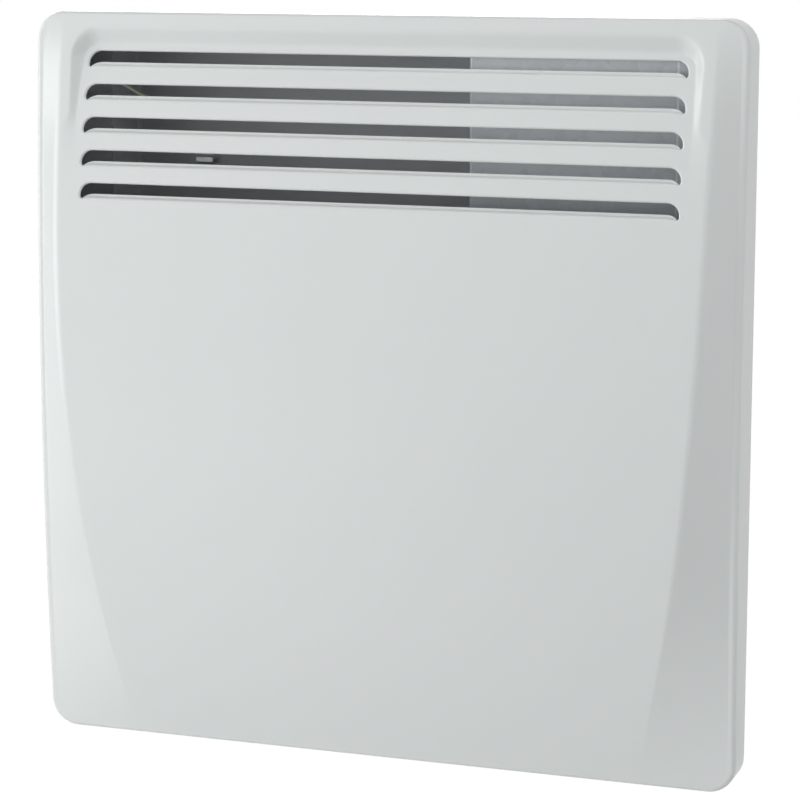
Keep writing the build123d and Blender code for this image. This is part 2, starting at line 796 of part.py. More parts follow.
def end_bush(side):
    """Ceramic bush on the rod's end, with a collar against the support."""
    start = element_x0 if side < 0 else element_x1
    origin = (start, element_y, element_z)
    bush = rod_from(bush_r, origin, (side, 0, 0), bush_len)
    bush += rod_from(bush_collar_r, origin, (side, 0, 0), bush_collar)
    return bush - rod(rod_r + screw_fit, 3 * bush_len, origin, "X")


def element_support(side):
    """Steel angle from the casing's back that carries a bush."""
    start = (element_x0 if side < 0 else element_x1) + side * bush_collar
    front = element_y - support_w / 2
    z = (element_z - support_w / 2, element_z + support_w / 2)
    plate = block((start, start + side * support_t), (pan_in_y, front), z)
    foot = block((start, start + side * support_foot), (pan_in_y, pan_in_y - support_t), z)
    plate = fillet((plate + foot).edges().filter_by(Axis.X).group_by(Axis.Y)[0], support_corner_r)
    plate -= rod(bush_r + screw_fit, 4 * support_t, (start, element_y, element_z), "X")
    for x, hole_z in support_screw_places():
        plate -= rod(screw_r + screw_fit, 4 * support_t, (x, pan_in_y, hole_z), "Y")
    return plate


def support_screw_places():
    """Screws through the supports' feet."""
    places = []
    for side in (-1, 1):
        start = (element_x0 if side < 0 else element_x1) + side * bush_collar
        x = start + side * (support_foot + support_t) / 2
        places += [(x, element_z - support_w / 4), (x, element_z + support_w / 4)]
    return places


def element_tabs():
    """Flat terminals on the rod's ends."""
    tabs = []
    for side, end in ((-1, element_x0 - bush_len - rod_end), (1, element_x1 + bush_len + rod_end)):
        tabs.append(block((end, end + side * tab_len), (element_y - tab_t / 2, element_y + tab_t / 2),
                          (element_z - tab_w / 2, element_z + tab_w / 2)))
    return tabs


def heat_shield():
    """Reflector behind the element, with a turned top edge."""
    y = pan_in_y - shield_gap - shield_t / 2
    path = [(y, shield_bottom), (y, shield_top), (y - shield_turn, shield_top + shield_turn)]
    mid_x, width = (shield_x0 + shield_x1) / 2, shield_x1 - shield_x0
    sheet = side_strip(path, shield_t, 2 * shield_t, mid_x, width)
    for x, z in shield_screw_places():
        sheet -= rod(screw_r + screw_fit, 6 * shield_t, (x, y, z), "Y")
    return sheet


def shield_screw_places():
    """Four fixings near the shield's corners."""
    return [(x, z) for x in (shield_x0 + shield_margin, shield_x1 - shield_margin)
            for z in (shield_bottom + shield_margin, shield_top - shield_margin)]


def shield_spacers():
    """Spacers between the shield and the casing."""
    return [
        rod(spacer_r, shield_gap, (x, pan_in_y - shield_gap / 2, z), "Y")
        - rod(screw_r + screw_fit, 2 * shield_gap, (x, pan_in_y, z), "Y")
        for x, z in shield_screw_places()
    ]


def inner_screws(places, thickness, length):
    """Screws from inside through something of a thickness on the casing's back."""
    return [screw((x, pan_in_y - thickness, z), (0, 1, 0), length) for x, z in places]


# ---------------------------------------------------------------- control compartment

def partition():
    """Folded light steel sheet between the element and the control compartment."""
    back, front = pan_in_y - partition_t / 2, edge_y - partition_reach
    right = pan_half_w - case_t - partition_t / 2
    path = [(partition_x - partition_foot, back), (partition_x, back), (partition_x, front), (right, front),
            (right, front + partition_return)]
    face = strip_face(path, partition_t, partition_bend_r)
    sheet = extrude(Plane((0, 0, partition_bottom)) * face, partition_top - partition_bottom)
    inside = pan(case_t, edge_y - flange_reach - 2 * case_t)
    sheet &= inside + tray(case_t, flange_reach + case_t, past_front)
    sheet -= rod(grommet_r, 4 * partition_t, (partition_x, grommet_y, grommet_z), "X")
    for x, z in partition_screw_places():
        sheet -= rod(screw_r + screw_fit, 6 * partition_t, (x, pan_in_y, z), "Y")
    return sheet


def partition_screw_places():
    """Screws through the partition's foot."""
    x = partition_x - partition_foot / 2 - partition_t / 2
    return [(x, partition_bottom + partition_foot), (x, pan_top - 2 * partition_foot)]


def wire_grommet():
    """Rubber grommet where the leads pass the partition."""
    centre = (partition_x, grommet_y, grommet_z)
    solid = rod(grommet_r + grommet_lip, grommet_len, centre, "X")
    groove = rod(grommet_r + 2 * grommet_lip, partition_t, centre, "X")
    groove -= rod(grommet_r, partition_t, centre, "X")
    return solid - groove - rod(grommet_bore_r, 2 * grommet_len, centre, "X")


def window_y(gap):
    """Limits in Y of the fascia's window, made smaller by a gap."""
    half = fascia_w / 2 - window_margin - gap
    return fascia_y - half, fascia_y + half


def window_z(gap):
    """Limits in Z of the fascia's window, made smaller by a gap."""
    return fascia_z0 + window_end + gap, fascia_z1 - window_end - gap


def control_fascia():
    """Moulded fascia on the casing's side: a plate with a plug that fills the window."""
    x = pan_half_w
    plane = Plane((x, fascia_y, (fascia_z0 + fascia_z1) / 2), x_dir=(0, 1, 0), z_dir=(1, 0, 0))
    plate = extrude(plane * RectangleRounded(fascia_w, fascia_z1 - fascia_z0, fascia_r), fascia_t)
    plate = fillet(plate.faces().sort_by(Axis.X)[-1].edges(), fascia_edge_r)
    plate += block((x - plug_t, x), window_y(fit_gap), window_z(fit_gap))
    plate += ring_x(knob_ring_r, knob_ring_r - knob_ring_t, x + fascia_t, knob_ring_h, knob_z)
    deep = 4 * (fascia_t + plug_t)
    plate -= rod(stat_bush_r + screw_fit, deep, (x, fascia_y, knob_z), "X")
    plate -= rod(lens_stem_r + screw_fit, deep, (x, fascia_y, lens_z), "X")
    plate -= block((x - deep, x + deep), span(fascia_y, switch_half_w + fit_gap / 2),
                   span(rocker_z, switch_half_h + fit_gap / 2))
    for z in fascia_screw_zs:
        plate -= rod(small_screw_r + screw_fit, deep, (x, fascia_y, z), "X")
    return plate


def ring_x(outer, inner, x, height, z):
    """Ring round an axis along X on the fascia."""
    plane = Plane((x, fascia_y, z), x_dir=(0, 1, 0), z_dir=(1, 0, 0))
    return extrude(plane * (Circle(outer) - Circle(inner)), height)


def span(middle, half):
    """Limits either side of a middle."""
    return middle - half, middle + half


def fascia_screws():
    """Small screws through the fascia's ends."""
    return [
        screw((pan_half_w + fascia_t, fascia_y, z), (-1, 0, 0), small_screw_len,
              small_screw_r, small_screw_head_r, small_screw_head_t)
        for z in fascia_screw_zs
    ]


def thermostat_body():
    """Thermostat case with its threaded bush through the fascia."""
    front = pan_half_w - plug_t
    body = block((front - stat_depth, front), span(fascia_y, stat_w / 2), span(knob_z, stat_h / 2))
    body = chamfer(body.edges().filter_by(Axis.X), stat_chamfer)
    body += rod_from(stat_bush_r, (front, fascia_y, knob_z), (1, 0, 0), plug_t + fascia_t)
    for z in (knob_z - stat_h / 4, knob_z + stat_h / 4):
        body += block((front - stat_depth - tab_len, front - stat_depth), span(fascia_y, tab_t / 2),
                      span(z, tab_w / 2))
    bore = front - stat_depth + stat_floor
    return body - rod_from(spindle_r + spindle_fit, (bore, fascia_y, knob_z), (1, 0, 0), 3 * stat_depth)


def spindle_start():
    """Inner end of the spindle."""
    return pan_half_w - plug_t - stat_depth + stat_floor + spindle_fit


def knob_start():
    """Rear face of the knob."""
    return pan_half_w + fascia_t + knob_gap


def thermostat_spindle():
    """Round spindle with a flat where the knob grips it."""
    start, end = spindle_start(), knob_start() + knob_bore
    solid = rod_from(spindle_r, (start, fascia_y, knob_z), (1, 0, 0), end - start)
    return solid - block((knob_start(), end + 1), (fascia_y + spindle_flat, fascia_y + 2 * spindle_r),
                         span(knob_z, 2 * spindle_r))


def thermostat_knob():
    """Fluted knob with a pointer ridge."""
    x = knob_start()
    solid = rod_from(knob_r, (x, fascia_y, knob_z), (1, 0, 0), knob_h)
    solid = fillet(solid.faces().sort_by(Axis.X)[-1].edges(), knob_edge_r)
    for k in range(knob_flutes):
        angle = math.radians(360 * k / knob_flutes)
        place = (x + knob_skirt, fascia_y + (knob_r + knob_flute_r / 2) * math.cos(angle),
                 knob_z + (knob_r + knob_flute_r / 2) * math.sin(angle))
        solid -= rod_from(knob_flute_r, place, (1, 0, 0), knob_h)
    solid += block((x + knob_h - knob_edge_r, x + knob_h + pointer_h), span(fascia_y, pointer_w / 2),
                   (knob_z, knob_z + knob_r - knob_edge_r))
    bore = rod_from(spindle_r + screw_fit, (x - 1, fascia_y, knob_z), (1, 0, 0), knob_bore + 1)
    bore -= block((x - 2, x + knob_h), (fascia_y + spindle_flat + screw_fit, fascia_y + 2 * spindle_r),
                  span(knob_z, 2 * spindle_r))
    return solid - bore


def switch_body():
    """Clip-in switch case with a bezel and a well for the rocker."""
    face = pan_half_w + fascia_t
    case = block((face - switch_depth, face), span(fascia_y, switch_half_w), span(rocker_z, switch_half_h))
    case += block((face, face + bezel_t), span(fascia_y, switch_half_w + bezel_w),
                  span(rocker_z, switch_half_h + bezel_w))
    case -= block((face - rocker_well, face + 2 * bezel_t), span(fascia_y, rocker_w / 2 + rocker_gap),
                  span(rocker_z, rocker_r + rocker_gap))
    pin = 2 * (rocker_w / 2 + rocker_gap + rocker_pin_len + screw_fit)
    case -= rod(rocker_pin_r + spindle_fit, pin, (rocker_axis_x, fascia_y, rocker_z), "Y")
    for z in (rocker_z - switch_half_h / 2, rocker_z + switch_half_h / 2):
        case += block((face - switch_depth - tab_len, face - switch_depth),
                      span(fascia_y, tab_t / 2), span(z, tab_w / 2))
    return case


def switch_rocker():
    """Rocker with a shallow V face, lying at its first position."""
    low = rocker_r * math.sin(math.radians(rocker_end_angle))
    end = rocker_r * math.cos(math.radians(rocker_end_angle))
    plane = Plane((0, 0, 0), x_dir=(0, 0, 1), z_dir=(0, 1, 0))
    outline = Polyline((end, low), (0, low - rocker_dip), (-end, low), (-rocker_skirt, -rocker_skirt),
                       (rocker_skirt, -rocker_skirt), close=True)
    body = extrude(plane * make_face(outline), rocker_w / 2, both=True)
    body = fillet(body.edges().filter_by(Axis.Y).group_by(Axis.X)[-1], rocker_edge_r)
    body += rod(rocker_pin_r, rocker_w + 2 * (rocker_gap + rocker_pin_len - screw_fit), (0, 0, 0), "Y")
    return Pos(rocker_axis_x, fascia_y, rocker_z) * Rot(0, rocker_angle, 0) * body


def indicator_lens():
    """Domed lens of the neon."""
    x = pan_half_w + fascia_t
    dome = rod_from(lens_r, (x, fascia_y, lens_z), (1, 0, 0), lens_proud)
    dome = fillet(dome.faces().sort_by(Axis.X)[-1].edges(), lens_edge_r)
    return dome + rod_from(lens_stem_r, (x, fascia_y, lens_z), (-1, 0, 0), fascia_t + plug_t + lens_tail)


def thermal_cutout():
    """Disc cut-out on the partition's warm side."""
    x = partition_x - partition_t / 2
    body = rod_from(cutout_r, (x, cutout_y, cutout_z), (-1, 0, 0), cutout_t)
    body += block((x, x - tab_t), span(cutout_y, cutout_r * 1.5), span(cutout_z, cutout_r / 2))
    for z in (cutout_z - cutout_r / 2, cutout_z + cutout_r / 2):
        body += block((x - cutout_t - tab_len, x - cutout_t),
                      span(cutout_y, tab_w / 2), span(z, tab_t / 2))
    return body


def terminal_block():
    """Three-way terminal block on the casing's back."""
    width = block_ways * block_way
    body = block(span(block_x, width / 2), (pan_in_y, pan_in_y - block_d), span(block_z, block_h / 2))
    body = fillet(body.edges().filter_by(Axis.Z).group_by(Axis.Y)[0], block_edge_r)
    for k in range(block_ways):
        x = block_x + (k - (block_ways - 1) / 2) * block_way
        for side in (-1, 1):
            mouth = (x, pan_in_y - block_d / 2, block_z + side * block_h / 2)
            body -= rod_from(entry_r, mouth, (0, 0, -side), entry_depth)
            clamp = (x, pan_in_y - block_d, block_z + side * block_h / 4)
            body -= rod_from(entry_r, clamp, (0, 1, 0), block_d / 2)
    centre = rod(screw_r + screw_fit, 3 * block_d, (block_x, pan_in_y, block_z), "Y")
    return body - centre


def cable_gland():
    """Cable gland in the casing's bottom, with its bore open below."""
    bottom = (gland_x, gland_y, pan_bottom)
    solid = rod_from(gland_r, bottom, (0, 0, -1), gland_flange)
    solid += hexagon(gland_r, gland_head - gland_flange, (gland_x, gland_y, pan_bottom - gland_flange),
                     (0, 0, -1), gland_bore_r)
    solid += rod_from(gland_thread_r, bottom, (0, 0, 1), gland_thread_len)
    return solid - rod(gland_bore_r, 4 * gland_thread_len, bottom, "Z")


def gland_nut():
    """Lock nut inside the casing."""
    return hexagon(gland_r, gland_nut_t, (gland_x, gland_y, pan_bottom + case_t), (0, 0, 1),
                   gland_thread_r + screw_fit)


# ---------------------------------------------------------------- leads

def live_lead():
    """From the terminal block's top to the switch."""
    x = block_x + block_way
    y = pan_in_y - block_d / 2
    tail_x = pan_half_w + fascia_t - switch_depth - tab_len - lead_clear
    z = rocker_z - switch_half_h / 2
    return lead([
        (x, y, block_z + block_h / 2 - entry_r),
        (x, y, z - lead_turn),
        (x + lead_turn, fascia_y, z),
        (tail_x, fascia_y, z),
    ])


def link_lead():
    """From the switch to the thermostat."""
    x0 = pan_half_w + fascia_t - switch_depth - tab_len - lead_clear
    x1 = pan_half_w - plug_t - stat_depth - tab_len - lead_clear
    low, high = rocker_z + switch_half_h / 2, knob_z - stat_h / 4
    out = min(x0, x1) - 2 * lead_turn
    return lead([
        (x0, fascia_y, low),
        (out, fascia_y, low),
        (out, fascia_y, high),
        (x1, fascia_y, high),
    ])


def load_lead():
    """From the thermostat through the grommet to the cut-out."""
    x0 = pan_half_w - plug_t - stat_depth - tab_len - lead_clear
    z0 = knob_z + stat_h / 4
    y = grommet_y - lead_pitch / 2
    left = partition_x - cutout_t - tab_len - 2 * lead_turn
    z1 = cutout_z - cutout_r / 2
    return lead([
        (x0, fascia_y, z0),
        (x0 - 2 * lead_turn, fascia_y, z0),
        (x0 - 4 * lead_turn, y, grommet_z),
        (left, y, grommet_z),
        (left, cutout_y, z1),
        (left + 2 * lead_turn - partition_t, cutout_y, z1),
    ])


def element_lead():
    """From the cut-out over the element to its left terminal."""
    x0 = partition_x - partition_t / 2 - cutout_t - tab_len - lead_clear
    z0 = cutout_z + cutout_r / 2
    left = element_x0 - bush_len - rod_end - tab_len / 2
    y = pan_in_y - shield_gap - shield_turn - 4 * lead_r
    return lead([
        (x0, cutout_y, z0),
        (x0 - 2 * lead_turn, cutout_y, z0),
        (x0 - 5 * lead_turn, y, z0),
        (left, y, z0),
        (left, element_y, element_z + 4 * lead_turn),
        (left, element_y, element_z + tab_w / 2 + lead_clear),
    ])


def neutral_lead():
    """From the terminal block through the grommet to the element's right terminal."""
    x = block_x - block_way
    y0 = pan_in_y - block_d / 2
    y = grommet_y + lead_pitch / 2
    end = element_x1 + bush_len + rod_end + tab_len / 2
    low = grommet_z - 3 * lead_turn
    return lead([
        (x, y0, block_z + block_h / 2 - entry_r),
        (x, y0, low - lead_turn),
        (x - lead_turn, y, grommet_z),
        (end + lead_turn, y, grommet_z),
        (end, y, low),
        (end, element_y, element_z + 4 * lead_turn),
        (end, element_y, element_z + tab_w / 2 + lead_clear),
    ])


def earth_lead():
    """From the cover's stud down behind the second slot to the casing's back."""
    stud_y = stud_seat() + stud_len - nut_t
    return lead([
        (stud_x + ring_r + lead_clear, stud_y, stud_z),
        (stud_x + 2 * ring_r + lead_turn + lead_r, stud_y + 2 * lead_turn, stud_z),
        (earth_x - earth_run, edge_y + lead_turn / 2, earth_z + ring_r),
        (earth_x - 2 * lead_turn, pan_in_y - 2 * lead_r, earth_z),
        (earth_x - ring_r, pan_in_y - 2 * ring_t, earth_z),
    ])


def earth_terminals():
    """Ring terminals at the earth lead's ends."""
    stud_y = stud_seat() + stud_len - nut_t
    rings = []
    for x, y, z, bore in ((stud_x, stud_y, stud_z, stud_r), (earth_x, pan_in_y, earth_z, screw_r)):
        ring = rod_from(ring_r, (x, y, z), (0, -1, 0), ring_t)
        rings.append(ring - rod(bore + screw_fit, 6 * ring_t, (x, y, z), "Y"))
    return rings


def cover_stud():
    """Welded earth stud inside the cover with its nut."""
    y = stud_seat()
    stud = rod_from(stud_r, (stud_x, y, stud_z), (0, 1, 0), stud_len)
    return stud + hexagon(nut_r, nut_t, (stud_x, y + stud_len - nut_t, stud_z), (0, 1, 0), stud_r / 2)


def stud_seat():
    """Y of the stud's foot on the inside of the cover."""
    return edge_y - field_at(stud_z + stud_r, cover_t)


def cover_screws():
    """Screws up through the cover's bottom wall into the casing's turned edge."""
    return [screw((x, edge_y - cover_screw_reach, -half_h), (0, 0, 1), screw_len) for x in cover_screw_xs]


def save(node, shape):
    """Write one piece, or a set of alike pieces, as its own file."""
    shape = Compound(shape) if isinstance(shape, list) else shape
    export_step(shape, os.path.join("parts", node + ".step"))


def main():
    """Build and write every piece."""
    os.makedirs("parts", exist_ok=True)
    pieces = {
        "front_cover": front_cover(),
        "cover_hooks": cover_hooks(),
        "cover_screws": cover_screws(),
        "rear_casing": rear_casing(),
        "wall_buffers": wall_buffers(),
        "wall_bracket": wall_bracket(),
        "pivot_pins": pivot_pins(),
        "pivot_hooks": pivot_hooks(),
        "spring_clips": spring_clips(),
        "clip_rivets": clip_rivets(),
        "element_fins": element_fins(),
        "element_rod": element_rod(),
        "end_bushes": [end_bush(-1), end_bush(1)],
        "element_supports": [element_support(-1), element_support(1)],
        "element_tabs": element_tabs(),
        "support_screws": inner_screws(support_screw_places(), support_t, screw_len),
        "heat_shield": heat_shield(),
        "shield_spacers": shield_spacers(),
        "shield_screws": inner_screws(
            shield_screw_places(), shield_gap + shield_t, shield_gap + screw_len / 2),
        "partition": partition(),
        "partition_screws": inner_screws(partition_screw_places(), partition_t, screw_len),
        "wire_grommet": wire_grommet(),
        "control_fascia": control_fascia(),
        "fascia_screws": fascia_screws(),
        "thermostat_body": thermostat_body(),
        "thermostat_spindle": thermostat_spindle(),
        "thermostat_knob": thermostat_knob(),
        "switch_body": switch_body(),
        "switch_rocker": switch_rocker(),
        "indicator_lens": indicator_lens(),
        "thermal_cutout": thermal_cutout(),
        "terminal_block": terminal_block(),
        "block_screw": inner_screws([(block_x, block_z)], block_d, block_d + screw_len / 2)[0],
        "cable_gland": cable_gland(),
        "gland_nut": gland_nut(),
        "live_lead": live_lead(),
        "link_lead": link_lead(),
        "load_lead": load_lead(),
        "element_lead": element_lead(),
        "neutral_lead": neutral_lead(),
        "cover_stud": cover_stud(),
        "earth_terminals": earth_terminals(),
        "earth_lead": earth_lead(),
        "earth_screw": inner_screws([(earth_x, earth_z)], ring_t, screw_len)[0],
    }
    for node, shape in pieces.items():
        save(node, shape)


if __name__ == "__main__":
    main()
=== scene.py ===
"""Looks of a wall panel convector heater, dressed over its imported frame.

Metres, in the frame's own axes: X to the right seen from the front, Y into the wall, Z up.
A "reach" is a distance in front of the cover's rear edge. The cover is one smooth skin, worked out
from its reach at every (x, z). The partition's flange, the earth lead and the dial's marks are
drawn here too. Every other piece keeps its solid and gets a finish.
"""

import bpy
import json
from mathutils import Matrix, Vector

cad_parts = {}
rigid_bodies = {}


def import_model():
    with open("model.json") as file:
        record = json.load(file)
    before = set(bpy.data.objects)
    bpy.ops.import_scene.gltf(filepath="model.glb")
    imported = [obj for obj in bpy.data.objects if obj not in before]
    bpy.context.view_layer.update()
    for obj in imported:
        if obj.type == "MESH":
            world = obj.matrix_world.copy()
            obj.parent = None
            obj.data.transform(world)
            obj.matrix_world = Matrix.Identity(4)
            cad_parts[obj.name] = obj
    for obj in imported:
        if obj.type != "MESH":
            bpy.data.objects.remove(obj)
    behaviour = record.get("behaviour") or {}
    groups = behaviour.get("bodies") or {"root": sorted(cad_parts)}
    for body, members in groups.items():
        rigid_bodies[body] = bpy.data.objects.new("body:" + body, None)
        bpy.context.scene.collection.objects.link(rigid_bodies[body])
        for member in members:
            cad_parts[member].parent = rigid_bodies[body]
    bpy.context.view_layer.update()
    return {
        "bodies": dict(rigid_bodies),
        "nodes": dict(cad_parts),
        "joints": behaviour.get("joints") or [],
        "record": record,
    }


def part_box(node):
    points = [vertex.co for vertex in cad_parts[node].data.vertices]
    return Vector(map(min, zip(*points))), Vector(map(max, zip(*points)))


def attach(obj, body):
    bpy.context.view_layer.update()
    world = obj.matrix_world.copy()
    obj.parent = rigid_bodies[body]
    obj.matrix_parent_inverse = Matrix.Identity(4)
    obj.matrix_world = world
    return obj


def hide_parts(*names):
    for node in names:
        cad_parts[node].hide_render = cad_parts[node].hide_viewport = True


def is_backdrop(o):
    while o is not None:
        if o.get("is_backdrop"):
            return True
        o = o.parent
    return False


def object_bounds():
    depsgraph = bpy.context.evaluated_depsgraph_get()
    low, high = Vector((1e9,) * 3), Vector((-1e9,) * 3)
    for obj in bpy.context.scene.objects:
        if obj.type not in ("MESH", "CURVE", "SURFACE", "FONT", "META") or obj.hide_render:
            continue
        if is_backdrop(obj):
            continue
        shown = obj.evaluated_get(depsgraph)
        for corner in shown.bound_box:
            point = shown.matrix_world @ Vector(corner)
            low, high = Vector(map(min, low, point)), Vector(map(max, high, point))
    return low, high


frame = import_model()

import json
import logging
import math
from dataclasses import dataclass, field
from enum import Enum

import bpy
import numpy as np
from mathutils import Vector

MM = 0.001
Array = np.ndarray
Colour = tuple[float, float, float]
Place = tuple[float, float, float]
LOG = logging.getLogger("heater")
WHITE = (1.0, 1.0, 1.0, 1.0)


# --- shader maths


class Wire:
    """A node's output, whose value is added and multiplied as in plain maths."""

    def __init__(self, graph: "Graph", socket: bpy.types.NodeSocket) -> None:
        """Holds the output.

        Args:
            graph: the node tree's builder.
            socket: the output socket.
        """
        self.graph = graph
        self.socket = socket

    def _with(self, operation: str, *values: "Wire | float") -> "Wire":
        """One Math node over the given values."""
        inputs = dict(enumerate(values))
        return self.graph.node("ShaderNodeMath", inputs, {"operation": operation})

    def __add__(self, other: "Wire | float") -> "Wire":
        """Sum."""
        return self._with("ADD", self, other)

    def __mul__(self, other: "Wire | float") -> "Wire":
        """Product."""
        return self._with("MULTIPLY", self, other)

    __radd__ = __add__
    __rmul__ = __mul__

    def sine(self) -> "Wire":
        """Sine of the value in radians."""
        return self._with("SINE", self)

    def ramp(self, low: float, high: float) -> "Wire":
        """0 below low, 1 above high, and a smooth step between.

        Args:
            low: where the step starts.
            high: where it ends.

        Returns:
            The stepped value.
        """
        inputs = {"Value": self, "From Min": low, "From Max": high}
        return self.graph.node("ShaderNodeMapRange", inputs, {"interpolation_type": "SMOOTHSTEP"})


class Graph:
    """Builds the node tree of one material or of the world."""

    def __init__(self, tree: bpy.types.NodeTree) -> None:
        """Starts from an empty tree."""
        self.tree = tree
        tree.nodes.clear()

    def node(
        self,
        kind: str,
        inputs: dict | None = None,
        settings: dict | None = None,
        output: int | str = 0,
    ) -> Wire:
        """Adds a node.

        Args:
            kind: its Blender type.
            inputs: values and wires by the input's name or index.
            settings: attributes that are set first, such as a Math node's operation.
            output: name or index of the output that is used.

        Returns:
            That output.
        """
        made = self.tree.nodes.new(kind)
        for key, value in (settings or {}).items():
            setattr(made, key, value)
        for key, value in (inputs or {}).items():
            if isinstance(value, Wire):
                self.tree.links.new(value.socket, made.inputs[key])
            else:
                made.inputs[key].default_value = value
        return Wire(self, made.outputs[output])

    def end(self, shader: Wire, kind: str = "ShaderNodeOutputMaterial") -> None:
        """Wires a shader to the tree's output.

        Args:
            shader: the shader.
            kind: the output node's Blender type.
        """
        self.tree.links.new(shader.socket, self.tree.nodes.new(kind).inputs[0])

    def place(self) -> Wire:
        """The point in object coordinates."""
        return self.node("ShaderNodeTexCoord", output="Object")

    def noise(self, scale: float, detail: float = 2.0, stretch: Place = (1.0, 1.0, 1.0)) -> Wire:
        """Noise over object coordinates.

        Args:
            scale: features per metre.
            detail: octaves.
            stretch: scale along each axis.

        Returns:
            Its height, about 0.5 on average.
        """
        place = self.node("ShaderNodeMapping", {"Vector": self.place(), "Scale": stretch})
        return self.node("ShaderNodeTexNoise", {"Vector": place, "Scale": scale, "Detail": detail})

    def cells(self, scale: float) -> Wire:
        """A random height for each cell of a Voronoi pattern, such as zinc's spangle.

        Args:
            scale: cells per metre.

        Returns:
            The cell's height, 0 to 1.
        """
        inputs = {"Vector": self.place(), "Scale": scale}
        tones = self.node("ShaderNodeTexVoronoi", inputs, output="Color")
        return self.node("ShaderNodeSeparateColor", {"Color": tones})

    def mixed(self, share: Wire, low: Colour, high: Colour) -> Wire:
        """Colour between two.

        Args:
            share: 0 gives low, 1 gives high.
            low: the first colour.
            high: the second colour.

        Returns:
            The colour.
        """
        inputs = {"Factor": share, 6: (*low, 1.0), 7: (*high, 1.0)}
        return self.node("ShaderNodeMix", inputs, {"data_type": "RGBA"}, 2)

    def bump(self, height: Wire, depth: float) -> Wire:
        """Normal from a height.

        Args:
            height: 0 to 1.
            depth: what 1 stands for, in metres.

        Returns:
            The normal.
        """
        return self.node("ShaderNodeBump", {"Height": height, "Distance": depth, "Strength": 1.0})

    def seen(self) -> Wire:
        """What kind of ray asks, as a sum of the Light Path node's outputs.

        Returns:
            1 for the camera's, glossy and transmission rays, 0 for those that carry light.
        """
        path = self.node("ShaderNodeLightPath").socket.node
        rays = ("Is Camera Ray", "Is Glossy Ray", "Is Transmission Ray")
        camera, glossy, through = (Wire(self, path.outputs[ray]) for ray in rays)
        return camera + glossy + through

    def principled(self, values: dict) -> None:
        """Ends the tree in a Principled shader with the given inputs."""
        self.end(self.node("ShaderNodeBsdfPrincipled", values))


# --- finishes


@dataclass(frozen=True)
class Finish:
    """A surface finish; each kind draws its own node tree.

    Attributes:
        name: the material's name.
        colour: main colour, linear.
        roughness: middle roughness.
    """

    name: str
    colour: Colour
    roughness: float

    def draw(self, graph: Graph) -> None:
        """Draws the node tree."""
        raise NotImplementedError

    def tint(self, graph: Graph, share: Wire, low: float, high: float) -> Wire:
        """The colour times a factor between two, kept at or below 1.

        Args:
            graph: the node tree's builder.
            share: 0 gives low, 1 gives high.
            low: the first factor.
            high: the second factor.

        Returns:
            The colour.
        """
        ends = (tuple(min(1.0, c * factor) for c in self.colour) for factor in (low, high))
        return graph.mixed(share, *ends)

    def gloss(self, share: Wire, span: float) -> Wire:
        """The roughness, which a share from 0 to 1 moves over a span about its middle."""
        return share * span + (self.roughness - span / 2)

    def material(self) -> bpy.types.Material:
        """Makes the Blender material, once for each name.

        Returns:
            The material.
        """
        found = bpy.data.materials.get(self.name)
        if found:
            return found
        made = bpy.data.materials.new(self.name)
        made.use_nodes = True
        self.draw(Graph(made.node_tree))
        return made


@dataclass(frozen=True)
class PowderCoat(Finish):
    """Sprayed and baked coat: a faint cloudiness, fine peel in the gloss.

    Attributes:
        peel: height of the peel, in metres.
        cloud: how much the colour drifts.
        gloss_span: how much the roughness drifts.
        cloud_scale: clouds per metre in the colour.
        gloss_scale: clouds per metre in the roughness.
        peel_scale: waves of the peel per metre.
    """

    peel: float = 3e-6
    cloud: float = 0.006
    gloss_span: float = 0.05
    cloud_scale: float = 12.0
    gloss_scale: float = 50.0
    peel_scale: float = 700.0

    def draw(self, graph: Graph) -> None:
        """Colour drifts over about 80 mm, roughness over 20 mm, peel is about 1.5 mm wide.

        Args:
            graph: the node tree's builder.
        """
        drift = graph.noise(self.cloud_scale)
        graph.principled({
            "Base Color": self.tint(graph, drift, 1 - self.cloud, 1 + self.cloud),
            "Roughness": self.gloss(graph.noise(self.gloss_scale, 3.0), self.gloss_span),
            "Specular IOR Level": 0.5,
            "Normal": graph.bump(graph.noise(self.peel_scale, 1.0), self.peel),
        })


@dataclass(frozen=True)
class ZincCoat(Finish):
    """Zinc-coated sheet: spangle in colour and gloss, faint rolling lines.

    Attributes:
        metallic: how metallic the coat is; weathered zinc is duller.
        spangle: cells per metre.
        spangle_share: the cells' part in the tone, the rest being the rolling lines'.
        rolling: features of the rolling lines per metre.
        rolling_stretch: the lines' scale along each axis.
        line_depth: height of the lines, in metres.
    """

    metallic: float = 0.85
    spangle: float = 140.0
    spangle_share: float = 0.6
    rolling: float = 60.0
    rolling_stretch: Place = (1.0, 30.0, 30.0)
    line_depth: float = 6e-6

    def draw(self, graph: Graph) -> None:
        """Each spangle cell has its own tone; rolling lines run along X.

        Args:
            graph: the node tree's builder.
        """
        cell = graph.cells(self.spangle)
        lines = graph.noise(self.rolling, 3.0, self.rolling_stretch)
        tone = cell * self.spangle_share + lines * (1 - self.spangle_share)
        graph.principled({
            "Base Color": self.tint(graph, tone, 0.86, 1.08),
            "Metallic": self.metallic,
            "Roughness": self.gloss(tone, 0.16),
            "Normal": graph.bump(lines, self.line_depth),
        })


class Grain(Enum):
    """Which way a worked metal's lines run."""

    ALONG_X = (1.0, 40.0, 40.0)
    ALONG_Z = (40.0, 40.0, 1.0)
    NONE = (1.0, 1.0, 1.0)


